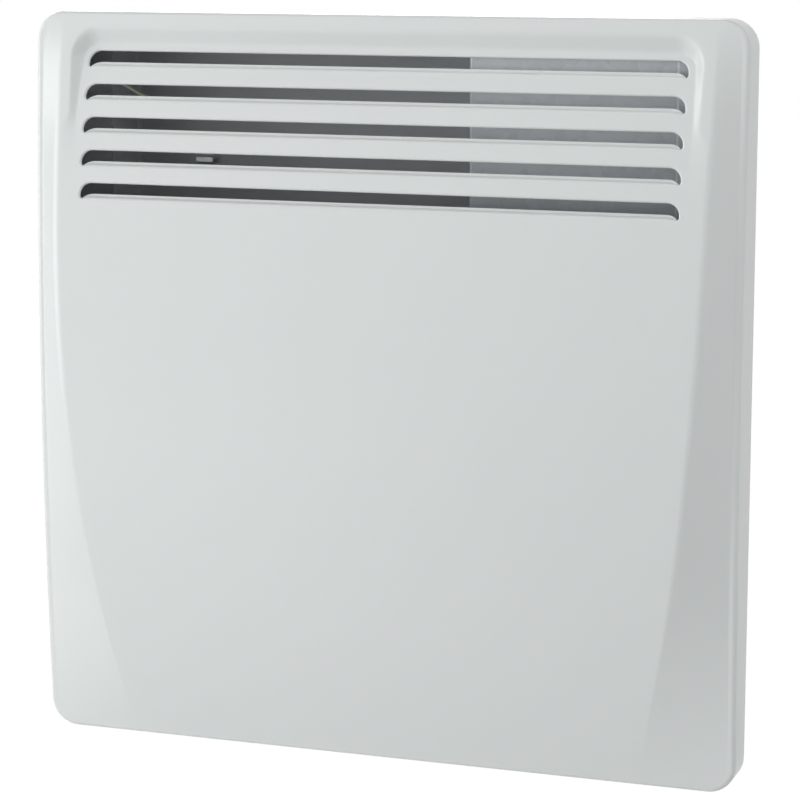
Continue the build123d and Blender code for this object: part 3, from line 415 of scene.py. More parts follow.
@dataclass(frozen=True)
class Metal(Finish):
    """Bare or plated metal with fine working lines and a little staining.

    Attributes:
        grain: which way the lines run.
        metallic: 1 for bare metal.
        line_depth: height of the lines, in metres.
        line_scale: lines per metre.
        stain_scale: stains per metre.
        stain_share: the stains' part in the tone, the rest being the lines'.
    """

    grain: Grain = Grain.NONE
    metallic: float = 1.0
    line_depth: float = 3e-6
    line_scale: float = 160.0
    stain_scale: float = 45.0
    stain_share: float = 0.7

    def draw(self, graph: Graph) -> None:
        """Lines come from a noise stretched along the grain, stains from a broad one.

        Args:
            graph: the node tree's builder.
        """
        lines = graph.noise(self.line_scale, 4.0, self.grain.value)
        stain = graph.noise(self.stain_scale, 3.0)
        tone = stain * self.stain_share + lines * (1 - self.stain_share)
        graph.principled({
            "Base Color": self.tint(graph, tone, 0.88, 1.06),
            "Metallic": self.metallic,
            "Roughness": self.gloss(lines, 0.14),
            "Normal": graph.bump(lines, self.line_depth),
        })


@dataclass(frozen=True)
class Moulded(Finish):
    """Moulded plastic or rubber: spark-eroded grain and a slight drift in tone.

    Attributes:
        texture: grains per metre.
        depth: their height, in metres.
        tone_scale: changes of tone per metre.
    """

    texture: float = 2200.0
    depth: float = 8e-6
    tone_scale: float = 70.0

    def draw(self, graph: Graph) -> None:
        """Fine noise for the grain, broad noise for the tone.

        Args:
            graph: the node tree's builder.
        """
        fine = graph.noise(self.texture, 2.0)
        graph.principled({
            "Base Color": self.tint(graph, graph.noise(self.tone_scale), 0.94, 1.05),
            "Roughness": self.gloss(fine, 0.12),
            "Normal": graph.bump(fine, self.depth),
        })


@dataclass(frozen=True)
class Glazed(Finish):
    """Ceramic: chalky, finely speckled.

    Attributes:
        speck_scale: specks per metre.
        chalk_scale: grains of the surface per metre.
        depth: their height, in metres.
    """

    speck_scale: float = 1800.0
    chalk_scale: float = 900.0
    depth: float = 1.2e-5

    def draw(self, graph: Graph) -> None:
        """Speckles are the peaks of a fine noise.

        Args:
            graph: the node tree's builder.
        """
        speck = graph.noise(self.speck_scale).ramp(0.62, 0.7)
        graph.principled({
            "Base Color": self.tint(graph, speck, 1.0, 0.72),
            "Roughness": self.roughness,
            "Normal": graph.bump(graph.noise(self.chalk_scale, 3.0), self.depth),
        })


@dataclass(frozen=True)
class Lens(Finish):
    """Clear coloured plastic with fine moulded prisms inside; their light and shade are painted
    into the colour.

    Attributes:
        prism_scale: bends of the prisms per metre.
        prisms: how many radians of a wave the noise spans.
    """

    prism_scale: float = 500.0
    prisms: float = 20.0

    def draw(self, graph: Graph) -> None:
        """The prisms' bent light and shade are painted into the colour as lighter and darker rings;
        the surface stays smooth.

        Args:
            graph: the node tree's builder.
        """
        # Painted light and shade: rings of lighter and darker colour stand in for light bent by the
        # prisms.
        painted_prism_light = (graph.noise(self.prism_scale, 1.0) * self.prisms).sine() * 0.5 + 0.5
        graph.principled({
            "Base Color": self.tint(graph, painted_prism_light, 0.7, 1.2),
            "Roughness": self.roughness,
            "Specular IOR Level": 0.5,
            "Coat Weight": 0.6,
            "Coat Roughness": 0.08,
        })


@dataclass(frozen=True)
class Striped(Finish):
    """Insulation in two colours: stripes run along the wire, read from the piece's own UV map.

    Attributes:
        second: the stripes' colour.
        stripes: how many go round the wire.
        grain_scale: grains of the surface per metre.
        depth: their height, in metres.
    """

    second: Colour = (0.1, 0.4, 0.12)
    stripes: int = 2
    grain_scale: float = 1500.0
    depth: float = 5e-6

    def draw(self, graph: Graph) -> None:
        """A stripe is where a sine that turns once for each stripe is above a small number.

        Args:
            graph: the node tree's builder.
        """
        turn = graph.node("ShaderNodeSeparateXYZ", {0: graph.node("ShaderNodeUVMap")})
        band = (turn * (2 * math.pi * self.stripes)).sine().ramp(0.1, 0.3)
        graph.principled({
            "Base Color": graph.mixed(band, self.colour, self.second),
            "Roughness": self.roughness,
            "Normal": graph.bump(graph.noise(self.grain_scale), self.depth),
        })


FINISHES: dict[str, Finish] = {
    "cover_paint": PowderCoat("gloss_white_coat", (0.70, 0.73, 0.725), 0.31, 1.5e-6),
    "casing_paint": PowderCoat("grey_casing_coat", (0.52, 0.54, 0.56), 0.5, 6e-6, 0.04),
    "partition_sheet": ZincCoat("zinc_partition", (0.52, 0.55, 0.57), 0.5, 0.35),
    "bracket_steel": ZincCoat("zinc_bracket", (0.48, 0.49, 0.50), 0.40),
    "shield_sheet": Metal("bright_shield", (0.78, 0.79, 0.80), 0.20, Grain.ALONG_X),
    "fin_aluminium": Metal("extruded_fins", (0.60, 0.60, 0.61), 0.38, Grain.ALONG_X),
    "rod_steel": Metal("heated_sheath", (0.20, 0.17, 0.15), 0.45, Grain.ALONG_X),
    "tab_steel": Metal("tinned_tabs", (0.66, 0.64, 0.58), 0.36),
    "bush_ceramic": Glazed("steatite", (0.78, 0.74, 0.66), 0.55),
    "screw_steel": Metal("plated_screws", (0.60, 0.61, 0.62), 0.35),
    "spring_steel": Metal("spring_steel", (0.42, 0.43, 0.44), 0.36, Grain.ALONG_Z),
    "earth_brass": Metal("brass", (0.66, 0.46, 0.18), 0.35),
    "fascia_plastic": Moulded("fascia_white", (0.66, 0.68, 0.67), 0.48),
    "knob_plastic": Moulded("knob_white", (0.68, 0.70, 0.69), 0.35, 1400.0, 3e-6),
    "switch_plastic": Moulded("switch_black", (0.018, 0.018, 0.020), 0.36, 1600.0, 4e-6),
    "lens_red": Lens("neon_lens", (0.62, 0.06, 0.03), 0.18),
    "stat_plastic": Moulded("thermostat_case", (0.035, 0.035, 0.038), 0.42),
    "spindle_metal": Metal("turned_spindle", (0.62, 0.62, 0.63), 0.36),
    "block_nylon": Moulded("natural_nylon", (0.72, 0.71, 0.64), 0.42),
    "gland_nylon": Moulded("grey_nylon", (0.50, 0.51, 0.52), 0.44),
    "rubber_black": Moulded("black_rubber", (0.022, 0.022, 0.022), 0.72, 1200.0, 1.6e-5),
    "wire_brown": Moulded("brown_insulation", (0.12, 0.045, 0.02), 0.40),
    "wire_blue": Moulded("blue_insulation", (0.02, 0.09, 0.42), 0.40),
    "wire_earth": Striped("earth_insulation", (0.74, 0.74, 0.46), 0.35, (0.36, 0.50, 0.34)),
}


# --- meshes


class Skin:
    """Gathers points and quads on grids, and makes them one mesh."""

    def __init__(self) -> None:
        """Starts empty."""
        self.points: list[Array] = []
        self.quads: list[Array] = []
        self.count = 0

    def add(self, points: Array) -> Array:
        """Adds a block of points.

        Args:
            points: an array whose last axis is x, y, z.

        Returns:
            The points' numbers, in the same layout.
        """
        flat = points.reshape(-1, 3)
        numbers = np.arange(self.count, self.count + len(flat)).reshape(points.shape[:-1])
        self.points.append(flat)
        self.count += len(flat)
        return numbers

    def add_rings(self, points: Array) -> Array:
        """Adds rings of points, one in each row, and closes them in the numbers it returns."""
        numbers = self.add(points)
        return np.concatenate([numbers, numbers[:, :1]], 1)

    def cover(self, numbers: Array, keep: Array | None = None) -> None:
        """Adds a quad between each four neighbours of a grid of point numbers.

        Args:
            numbers: the grid; its rows times its columns point outwards.
            keep: true for the quads that are made.
        """
        low, high = numbers[:-1], numbers[1:]
        quads = np.stack([low[:, :-1], low[:, 1:], high[:, 1:], high[:, :-1]], -1)
        self.quads.append(quads[keep] if keep is not None else quads.reshape(-1, 4))

    def carry(self, path: Array, radius: float, around: int) -> None:
        """Carries a circle along a path as a closed tube.

        A ring is the path's point plus the radius times cosine and sine of the turn, along two
        directions square to the path; both ends close on their path point.

        Args:
            path: points, one row each.
            radius: the tube's.
            around: points round a ring.
        """
        ahead = np.gradient(path, axis=0)
        ahead /= np.linalg.norm(ahead, axis=1, keepdims=True)
        side = np.cross(ahead, (0.0, 0.0, 1.0))
        side /= np.linalg.norm(side, axis=1, keepdims=True)
        up = np.cross(side, ahead)
        turn = np.linspace(0.0, 2 * math.pi, around + 1)[:-1]
        reach = radius * np.r_[0.0, np.ones(len(path)), 0.0]
        at = np.r_[0, np.arange(len(path)), len(path) - 1]
        painted_prism_light = path[at, None] + reach[:, None, None] * (
            side[at, None] * np.cos(turn)[:, None] + up[at, None] * np.sin(turn)[:, None])
        self.cover(self.add_rings(painted_prism_light))

    def build(self, name: str, material: bpy.types.Material) -> bpy.types.Object:
        """Makes the mesh's object, smooth all over, at the origin.

        Args:
            name: the piece's name.
            material: its material.

        Returns:
            The object, linked to the scene.
        """
        mesh = bpy.data.meshes.new(name)
        mesh.from_pydata(np.concatenate(self.points), [], np.concatenate(self.quads))
        mesh.validate()
        mesh.shade_smooth()
        mesh.materials.append(material)
        made = bpy.data.objects.new(name, mesh)
        bpy.context.scene.collection.objects.link(made)
        return made


def thicken(piece: bpy.types.Object, sheet: float) -> None:
    """Gives a skin its thickness, inwards.

    Args:
        piece: the skin.
        sheet: how thick it gets.
    """
    wall = piece.modifiers.new("sheet", "SOLIDIFY")
    wall.thickness = sheet
    wall.offset = -1.0


def boundary(grid: Array) -> Array:
    """A grid's outline from its first corner along the first row, round and back, closed."""
    sides = grid[0, :-1], grid[:-1, -1], grid[-1, :0:-1], grid[:0:-1, 0]
    return np.concatenate([*sides, grid[0, :1]])


def spread(*stops: tuple[Array | float, int]) -> Array:
    """Stations between stops, each with the number of steps that lead to it.

    Args:
        stops: (place, steps) pairs; a place may be a row of them, and the first has no steps.

    Returns:
        The stations on the last axis, from the first stop to the last.
    """
    places = np.broadcast_arrays(*(place for place, _ in stops))
    runs = [places[0][..., None]]
    for start, end, (_, steps) in zip(places, places[1:], stops[1:]):
        share = np.linspace(0.0, 1.0, steps + 1)[1:]
        runs.append(start[..., None] + (end - start)[..., None] * share)
    return np.concatenate(runs, -1)


def rounded_ramp(run: Array, slope: Array, radius: float) -> Array:
    """Height that is 0 before the corner at run 0 and rises at a slope after it, through an arc.

    The arc has the radius and touches both lines: it starts radius * tan(half the angle) before
    the corner, and its height is radius less the height of a circle.

    Args:
        run: distance past the corner.
        slope: rise over run after it.
        radius: the arc's radius.

    Returns:
        The height.
    """
    angle = np.arctan(slope)
    tangent = radius * np.tan(angle / 2)
    along = np.clip(run + tangent, 0.0, radius * np.sin(angle))
    arc = radius - np.sqrt(radius**2 - along**2)
    return arc + slope * np.maximum(run + tangent - radius * np.sin(angle), 0.0)


# --- cover


@dataclass
class Cover:
    """The pressed steel cover with its raised field, recess and five louvred slots.

    Names ending in _steps count the grid's rows or columns across a band.
    """

    sheet: float = 1.0 * MM
    corner_r: float = 17.0 * MM
    edge_bend_r: float = 2.6 * MM
    rim_mid: float = 30.4 * MM
    rim_end: float = 22.5 * MM
    foot_inset: float = 4.4 * MM
    foot_round_down: float = 23.5 * MM
    foot_round: float = 4.0 * MM
    foot_r: float = 1.4 * MM
    crease_inset: float = 18.0 * MM
    crease_turn_down: float = 103.5 * MM
    crease_bow_r: float = 1420.0 * MM
    crease_r: float = 9.0 * MM
    flank_split: float = 0.6
    recess_side: float = 33.0 * MM
    recess_down: float = 18.0 * MM
    recess_h: float = 113.5 * MM
    recess_depth: float = 6.4 * MM
    recess_fall: float = 3.4
    recess_corner_r: float = 9.0 * MM
    recess_wall_w: float = 8.8 * MM
    recess_wall_in: float = 2.5 * MM
    recess_wall_h: float = 11.0 * MM
    recess_flare: float = 5.0 * MM
    recess_flare_from: float = 0.64
    recess_flare_over: float = 0.12
    recess_top_narrow: float = 0.7
    recess_foot_out: float = 1.6 * MM
    recess_foot_up: float = 6.5 * MM
    recess_foot_bend: float = 0.18
    recess_top_bend: float = 0.32
    slot_count: int = 5
    slot_pitch: float = 19.55 * MM
    slot_down: float = 14.8 * MM
    slot_side: float = 2.0 * MM
    slot_h: float = 9.2 * MM
    slot_top_r: float = 7.0 * MM
    slot_low_r: float = 1.5 * MM
    lip_back: float = 3.6 * MM
    lip_rise: float = 2.6 * MM
    lip_end_r: float = 8.0 * MM
    lip_bend_r: float = 2.2 * MM
    lip_tilt: float = math.radians(84.0)
    lip_ledge: float = 1.2 * MM
    lip_return_r: float = 0.8 * MM
    lip_end_tilt: float = math.radians(8.0)
    roll: float = 1.25 * MM
    edge_soft: float = 0.22 * MM
    edge_limit: float = math.radians(40.0)
    low_band: float = 14.0 * MM
    rows_low_z: float = -80.0 * MM
    rows_high_z: float = 90.0 * MM
    sharp_r: float = 0.01 * MM
    slot_band: float = 14.0 * MM
    slot_end: float = 9.0 * MM
    least_bend: float = 1.5 * MM
    least_gap: float = 0.8 * MM
    foot_lead: float = 1.2 * MM
    wall_steps: int = 12
    slot_low_steps: int = 5
    slot_top_steps: int = 9
    edge_bend_steps: int = 8
    side_steps: int = 4
    lip_steps: int = 7
    lip_return_steps: int = 4
    half_w: float = field(init=False)
    half_h: float = field(init=False)
    rear_y: float = field(init=False)
    field_mid: float = field(init=False)
    meet: float = field(init=False)
    recess_half_w: float = field(init=False)
    recess_top: float = field(init=False)
    recess_fade: float = field(init=False)
    inward: Array = field(init=False)
    slot_column: int = field(init=False)
    foot_column: int = field(init=False)
    slot_low_rows: Array = field(init=False)

    def __post_init__(self) -> None:
        """Reads the overall size and place from the frame."""
        low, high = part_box("front_cover")
        self.half_w, self.half_h = high.x, high.z
        self.rear_y = high.y
        self.field_mid = high.y - low.y
        self.meet = self.half_h - self.edge_bend_r
        self.recess_half_w = self.half_w - self.recess_side
        self.recess_top = self.half_h - self.recess_down
        self.recess_fade = self.recess_top - self.recess_h

    # -- the form, as a reach at each (x, z)

    @staticmethod
    def bow(z: Array, mid: float, end: float, end_z: float) -> Array:
        """A circle's arc, whose radius is half chord squared plus sag squared, over twice the sag.

        Args:
            z: heights.
            mid: reach at z 0.
            end: reach at end_z.
            end_z: half the chord.

        Returns:
            Reach at each height.
        """
        sag = mid - end
        radius = (end_z**2 + sag**2) / (2 * sag)
        return mid - radius + np.sqrt(radius**2 - z**2)

    def rim(self, z: Array) -> Array:
        """Reach of the rim."""
        return self.bow(z, self.rim_mid, self.rim_end, self.half_h)

    def raised(self, z: Array) -> Array:
        """Reach of the raised field, which meets the rim where the edge bend starts."""
        end = float(self.rim(np.float64(self.meet)))
        return self.bow(z, self.field_mid, end, self.meet)

    def crease(self, z: Array) -> Array:
        """Half width of the raised field: straight above, and an arc below its turn.

        Args:
            z: heights.

        Returns:
            Half width at each height.
        """
        drop = np.maximum(self.half_h - self.crease_turn_down - z, 0.0)
        bow = self.crease_bow_r - np.sqrt(self.crease_bow_r**2 - drop**2)
        return self.half_w - self.crease_inset - bow

    def foot(self, z: Array) -> Array:
        """Half width at the flanks' feet, coming in as a square towards the ends.

        Args:
            z: heights.

        Returns:
            Half width at each height.
        """
        start = self.half_h - self.foot_round_down
        near = np.maximum(np.abs(z) - start, 0.0) / (self.meet - start)
        return self.half_w - self.foot_inset - self.foot_round * near**2

    def recess_floor_depth(self, z: Array) -> Array:
        """Depth of the recess's floor under the field: a power of the share of its height."""
        share = np.clip((z - self.recess_fade) / self.recess_h, 0.0, 1.0)
        return self.recess_depth * share**self.recess_fall

    def recess_wall(self, x: Array, z: Array) -> Array:
        """Share of the way up the recess's wall: 0 on its foot line, 1 at its top, less inside.

        Both lines are open below, and their corners are quarters of two ellipses about one centre.
        The wall narrows from both sides as the recess gets shallower, and below a share of the
        recess's height it flares out and dies away.

        Args:
            x: across, any shape.
            z: height, same shape.

        Returns:
            The share.
        """
        side = np.maximum(np.abs(x) - (self.recess_half_w - self.recess_corner_r), 1e-9)
        up = np.maximum(z - (self.recess_top - self.recess_corner_r), 0.0)
        share = (z - self.recess_fade) / self.recess_h
        die = np.clip((self.recess_flare_from - share) / self.recess_flare_over, 0.0, 1.0)
        die = die * die * (3.0 - 2.0 * die)
        shallow = 1.0 - np.sqrt(self.recess_floor_depth(z) / self.recess_depth)
        narrow = self.recess_wall_in * shallow * (1 - die)
        inner_w = self.recess_corner_r + self.recess_foot_out + narrow
        inner = np.hypot(side / inner_w, up / self.recess_foot_up)
        outer_w = self.recess_corner_r + self.recess_wall_w - self.recess_top_narrow * narrow
        outer_h = self.recess_corner_r + self.recess_wall_h
        outer = np.hypot(side / (outer_w + self.recess_flare * die), up / outer_h)
        return (1.0 - 1.0 / inner) / (1.0 / outer - 1.0 / inner)

    def reach(self, x: Array, z: Array) -> Array:
        """Reach of the outer surface in front of the rear edge.

        The field falls over its crease at the flank's slope, and the flank runs out into the rim
        through its foot. The recess sinks by its depth, and its wall rises again: its slope grows
        over the foot's bend, stays, and falls again over the top's bend.

        Args:
            x: across, any shape.
            z: height, same shape.

        Returns:
            The reach.
        """
        rim, raised = self.rim(z), self.raised(z)
        crease, foot = self.crease(z), self.foot(z)
        slope = np.maximum(raised - rim, 0.0) / (foot - crease)
        over = np.abs(x) - crease
        from_field = raised - rounded_ramp(over, slope, self.crease_r)
        from_rim = rim + rounded_ramp(foot - np.abs(x), slope, self.foot_r)
        body = np.where(over < self.flank_split * (foot - crease), from_field, from_rim)
        depth = np.where(z > self.recess_fade, self.recess_floor_depth(z), 0.0)
        share = np.clip(self.recess_wall(x, z), 0.0, 1.0)
        foot_bend, top_bend = self.recess_foot_bend, self.recess_top_bend
        total = 1.0 - (foot_bend + top_bend) / 2
        risen = np.where(share < foot_bend, share**2 / (2 * foot_bend), share - foot_bend / 2)
        risen = np.where(share > 1 - top_bend, total - (1 - share) ** 2 / (2 * top_bend), risen)
        return body - depth * (1.0 - risen / total)

    def point(self, x: Array, z: Array, reach: Array) -> Array:
        """Points at a reach, as x, y, z on the last axis."""
        return np.stack([x, self.rear_y - reach, z], -1)

    # -- the grid

    def slot_rows(self) -> tuple[Array, Array]:
        """Heights through all slots, from the lowest up, and the slots' half width at each.

        A slot's side is a small arc and a larger arc; the outline lies where the edge starts to
        turn in, which is a roll's width outside the opening.

        Returns:
            Heights and half widths, one row for each slot.
        """
        half = self.recess_half_w - self.slot_side + self.roll
        low_r, top_r = self.slot_low_r + self.roll, self.slot_top_r + self.roll
        low = np.linspace(0.0, math.pi / 2, self.slot_low_steps + 1)
        top = np.linspace(0.0, math.pi / 2, self.slot_top_steps + 1)
        height = self.slot_h + 2 * self.roll
        up = np.concatenate([low_r * (1 - np.cos(low)), height - top_r * (1 - np.sin(top))])
        out = np.concatenate([half - low_r * (1 - np.sin(low)), half - top_r * (1 - np.cos(top))])
        self.inward = np.concatenate([
            np.stack([-np.sin(low), np.cos(low)], -1), np.stack([-np.cos(top), -np.sin(top)], -1),
        ])
        first = self.recess_top - self.slot_down - self.roll
        lows = first - self.slot_pitch * np.arange(self.slot_count)[::-1]
        return lows[:, None] + up, np.broadcast_to(out, (self.slot_count, len(out)))

    def rows(self, slots: Array) -> Array:
        """Heights of all rows of the grid, bottom to top: through the slots and between them.

        Args:
            slots: heights through each slot, one row for each.

        Returns:
            The heights.
        """
        low_end, wall_top = -self.half_h + self.low_band, self.recess_top + self.recess_wall_h
        body = (low_end, 8), (self.rows_low_z, 26), (self.rows_high_z, 34)
        below = spread((-self.meet, 0), *body, (slots[0, 0], 5))
        between = spread((slots[:-1, -1], 0), (slots[1:, 0], 6))[:, 1:-1]
        above = spread((slots[-1, -1], 0), (self.recess_top, 6), (wall_top, 10), (self.meet, 9))
        through = np.hstack([slots[:-1], between]).ravel()
        return np.concatenate([below[:-1], through, slots[-1], above[1:]])

    def columns(self, z: Array, slot_z: Array, slot_x: Array) -> Array:
        """Nominal half-grid columns for each row: centre, slot end, recess, crease, flank, outline.

        Args:
            z: the rows' heights.
            slot_z: heights at which the slots' half width is given.
            slot_x: the half width there.

        Returns:
            One row of places for each height.
        """
        top_crease = float(self.crease(np.float64(self.recess_fade)))
        shift = np.where(z < self.recess_fade, top_crease - self.crease(z), 0.0)
        slot = np.interp(z, slot_z, slot_x) - shift
        foot = self.recess_half_w - shift
        wall = foot + self.recess_wall_w
        slope = np.maximum(self.raised(z) - self.rim(z), 0.0) / (self.foot(z) - self.crease(z))
        angle = np.arctan(slope)
        bend_in = self.crease(z) - self.crease_r * np.tan(angle / 2)
        bend_out = bend_in + self.crease_r * np.sin(angle)
        bend_out = np.maximum(bend_out, bend_in + self.least_bend)
        near_end = slot - self.slot_end
        corner = np.maximum(self.half_w - self.corner_r, bend_out + self.least_gap)
        flank_foot = self.half_w - self.foot_inset - self.foot_lead
        stops = [
            (0.0, 0), (near_end - self.slot_band, 18), (near_end, 6), (slot, 10), (foot, 3),
            (wall, self.wall_steps), (bend_in, 3), (bend_out, 9), (corner, 4), (flank_foot, 9),
            (self.half_w - self.edge_bend_r, 5),
        ]
        self.slot_column = sum(steps for _, steps in stops[:4])
        self.foot_column = self.slot_column + stops[4][1]
        return spread(*stops)

    @staticmethod
    def rounded(a: Array, b: Array, knots: Array) -> tuple[Array, Array]:
        """Moves points near an upper right corner onto nested rounded corners.

        Each point belongs to the outer of two rings, its column's or its row's, and keeps its
        place along that ring: the straight stays, and the rest of the side becomes an eighth turn.

        Args:
            a: columns' places, 0 or more.
            b: rows' places.
            knots: rings from the inside out, each (half width, half height, corner radius).

        Returns:
            The moved places.
        """
        number = np.arange(len(knots), dtype=float)
        ring_a = np.interp(a, knots[:, 0], number)
        ring_b = np.interp(b, knots[:, 1], number)
        ring = np.maximum(ring_a, ring_b)
        half_a, half_b, radius = (np.interp(ring, number, knots[:, k]) for k in range(3))
        on_side = (ring_a > ring_b) | ((ring_a == ring_b) & (a >= half_a))
        along = np.where(on_side, b - (half_b - radius), a - (half_a - radius))
        turn = math.pi / 4 * np.clip(along / radius, 0.0, 1.0)
        side_b = np.where(along > 0, half_b - radius + radius * np.sin(turn), b)
        top_a = np.where(along > 0, half_a - radius + radius * np.sin(turn), a)
        moved_a = np.where(on_side, half_a - radius * (1 - np.cos(turn)), top_a)
        moved_b = np.where(on_side, side_b, half_b - radius * (1 - np.cos(turn)))
        inside = (a < knots[0, 0]) & (b < knots[0, 1])
        return np.where(inside, a, moved_a), np.where(inside, b, moved_b)

    def grid(self) -> tuple[Array, Array, Array]:
        """The whole front's grid, and which of its quads are sheet and not slot.

        Returns:
            x and z of the grid's points, and the mask of its quads.
        """
        slot_z, slot_x = self.slot_rows()
        b = self.rows(slot_z)
        a = self.columns(b, slot_z.ravel(), slot_x.ravel())
        z = np.broadcast_to(b[:, None], a.shape)
        outer_r = self.corner_r - self.edge_bend_r
        last = self.half_w - self.edge_bend_r
        top_knots = np.array([
            (self.recess_half_w, self.recess_top, self.recess_corner_r),
            (self.recess_half_w + self.recess_wall_w, self.recess_top + self.recess_wall_h,
             self.recess_corner_r + self.recess_wall_h),
            (last, self.meet, outer_r),
        ])
        low_wall = a[0, self.foot_column + self.wall_steps]
        low_knots = np.array([
            (low_wall, self.half_h - self.low_band, self.sharp_r), (last, self.meet, outer_r),
        ])
        x_top, z_top = self.rounded(a, z, top_knots)
        x_low, z_low = self.rounded(a, -z, low_knots)
        x = np.where(z > 0, x_top, x_low)
        z = np.where(z > 0, z_top, -z_low)
        between = slice(self.slot_column, self.foot_column + 1)
        share = np.linspace(0.0, 1.0, self.foot_column - self.slot_column + 1)
        below_top = b < self.recess_top
        for values in (x, z):
            ends = values[below_top][:, [self.slot_column, self.foot_column]]
            values[below_top, between] = ends[:, :1] + (ends[:, 1:] - ends[:, :1]) * share
        x = np.concatenate([-x[:, :0:-1], x], 1)
        z = np.concatenate([z[:, :0:-1], z], 1)
        middle = x.shape[1] // 2
        column = np.arange(x.shape[1] - 1)
        in_columns = (column >= middle - self.slot_column) & (column < middle + self.slot_column)
        centre = (b[:-1, None] + b[1:, None]) / 2
        in_rows = ((centre > slot_z[:, 0]) & (centre < slot_z[:, -1])).any(1)
        self.slot_low_rows = np.searchsorted(b, slot_z[:, 0] - 1e-9)
        return x, z, ~(in_rows[:, None] & in_columns)

    def edge_ring(self, skin: Skin, numbers: Array, x: Array, z: Array) -> None:
        """Carries the bend and the side wall round the front's outline.

        The profile goes out and back through a quarter turn and then straight to the rear edge,
        along the outline's outward direction at each boundary point.

        Args:
            skin: the cover's skin.
            numbers: the front grid's point numbers.
            x: the grid's x.
            z: the grid's z.
        """
        edge_x, edge_z, first = map(boundary, (x, z, numbers))
        out_x, out_z = (
            np.sign(edge) * np.maximum(np.abs(edge) - half + self.corner_r, 0.0)
            for edge, half in ((edge_x, self.half_w), (edge_z, self.half_h))
        )
        length = np.hypot(out_x, out_z)
        out_x, out_z = out_x / length, out_z / length
        turn = np.linspace(0.0, math.pi / 2, self.edge_bend_steps + 1)[1:, None]
        down = np.linspace(1.0, 0.0, self.side_steps + 1)[1:, None]
        start = self.reach(edge_x, edge_z)
        out = self.edge_bend_r * np.concatenate([np.sin(turn), np.ones_like(down)])
        bend = start - self.edge_bend_r * (1 - np.cos(turn))
        walls = (start - self.edge_bend_r) * down
        reach = np.concatenate([bend, walls])
        points = self.point(edge_x + out_x * out, edge_z + out_z * out, reach)
        skin.cover(np.concatenate([first[None], skin.add_rings(points[:, :-1])]).T)

    def slot_edges(self, skin: Skin, numbers: Array, x: Array, z: Array) -> None:
        """Turns each slot's edge in all round, and its lower edge on into the lip.

        The edge's profile, as a way in and a way back, is a quarter turn. The lip's is summed from
        short chords: it bends back through an arc to a steep ledge, and through a smaller arc to
        an upright blade. The lower edge has the lip's, less and less of it under a circle of the
        end radius, and the rest of the outline has the edge's.

        Args:
            skin: the cover's skin.
            numbers: the front grid's point numbers.
            x: the grid's x.
            z: the grid's z.
        """
        tilts = np.concatenate([
            np.linspace(0.0, self.lip_tilt, self.lip_steps), np.full(1, self.lip_tilt),
            np.linspace(self.lip_tilt, self.lip_end_tilt, self.lip_return_steps + 1)[1:],
        ])
        turned = np.abs(np.diff(tilts))
        in_bend = np.arange(len(turned)) < self.lip_steps
        lengths = turned * np.where(in_bend, self.lip_bend_r, self.lip_return_r)
        lengths[self.lip_steps - 1] = self.lip_ledge
        middles = (tilts[1:] + tilts[:-1]) / 2
        lip_in = np.cumsum(lengths * np.cos(middles))
        lip_back = np.cumsum(lengths * np.sin(middles))
        blade = self.lip_rise + self.roll - lip_in[-1]
        lip_in = np.append(lip_in, self.lip_rise + self.roll)
        lip_back = np.append(lip_back, lip_back[-1] + blade * math.tan(self.lip_end_tilt))
        quarter = np.linspace(0.0, math.pi / 2, len(lip_in) + 1)[1:]
        edge_in, edge_back = self.roll * np.sin(quarter), self.roll * (1 - np.cos(quarter))
        middle = x.shape[1] // 2
        left, right = middle - self.slot_column, middle + self.slot_column
        half = self.recess_half_w - self.slot_side
        up, down = (np.tile(self.inward[end], (right - left, 1)) for end in (0, -1))
        mirrored = self.inward * (-1.0, 1.0)
        toward = np.concatenate([up, self.inward[:-1], down, mirrored[:0:-1], self.inward[:1]])
        for row in self.slot_low_rows:
            place = np.s_[row:row + len(self.inward), left:right + 1]
            edge_x, edge_z, first = (boundary(values[place]) for values in (x, z, numbers))
            into = np.clip(np.abs(edge_x) - (half - self.lip_end_r), 0.0, self.lip_end_r)
            height = self.lip_rise - (self.lip_end_r - np.sqrt(self.lip_end_r**2 - into**2))
            share = np.clip((height + self.roll) / (self.lip_rise + self.roll), 0.0, 1.0)
            share = share * (edge_z < edge_z[0] + 1e-6)
            way_in = lip_in[:, None] * share + edge_in[:, None] * (1 - share)
            way_back = lip_back[:, None] * share + edge_back[:, None] * (1 - share)
            new_x, new_z = edge_x + toward[:, 0] * way_in, edge_z + toward[:, 1] * way_in
            points = self.point(new_x, new_z, self.reach(edge_x, edge_z) - way_back)
            skin.cover(np.concatenate([first[None], skin.add_rings(points[:, :-1])]))

    def make(self) -> bpy.types.Object:
        """Builds and dresses the cover.

        Returns:
            The cover's piece.
        """
        skin = Skin()
        x, z, keep = self.grid()
        numbers = skin.add(self.point(x, z, self.reach(x, z)))
        skin.cover(numbers, keep)
        self.edge_ring(skin, numbers, x, z)
        self.slot_edges(skin, numbers, x, z)
        piece = skin.build("cover_skin", FINISHES["cover_paint"].material())
        thicken(piece, self.sheet)
        bevel = piece.modifiers.new("soft_edges", "BEVEL")
        bevel.width, bevel.segments = self.edge_soft, 2
        bevel.limit_method, bevel.angle_limit = "ANGLE", self.edge_limit
        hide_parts("front_cover")
        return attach(piece, "heater")


# --- partition's flange


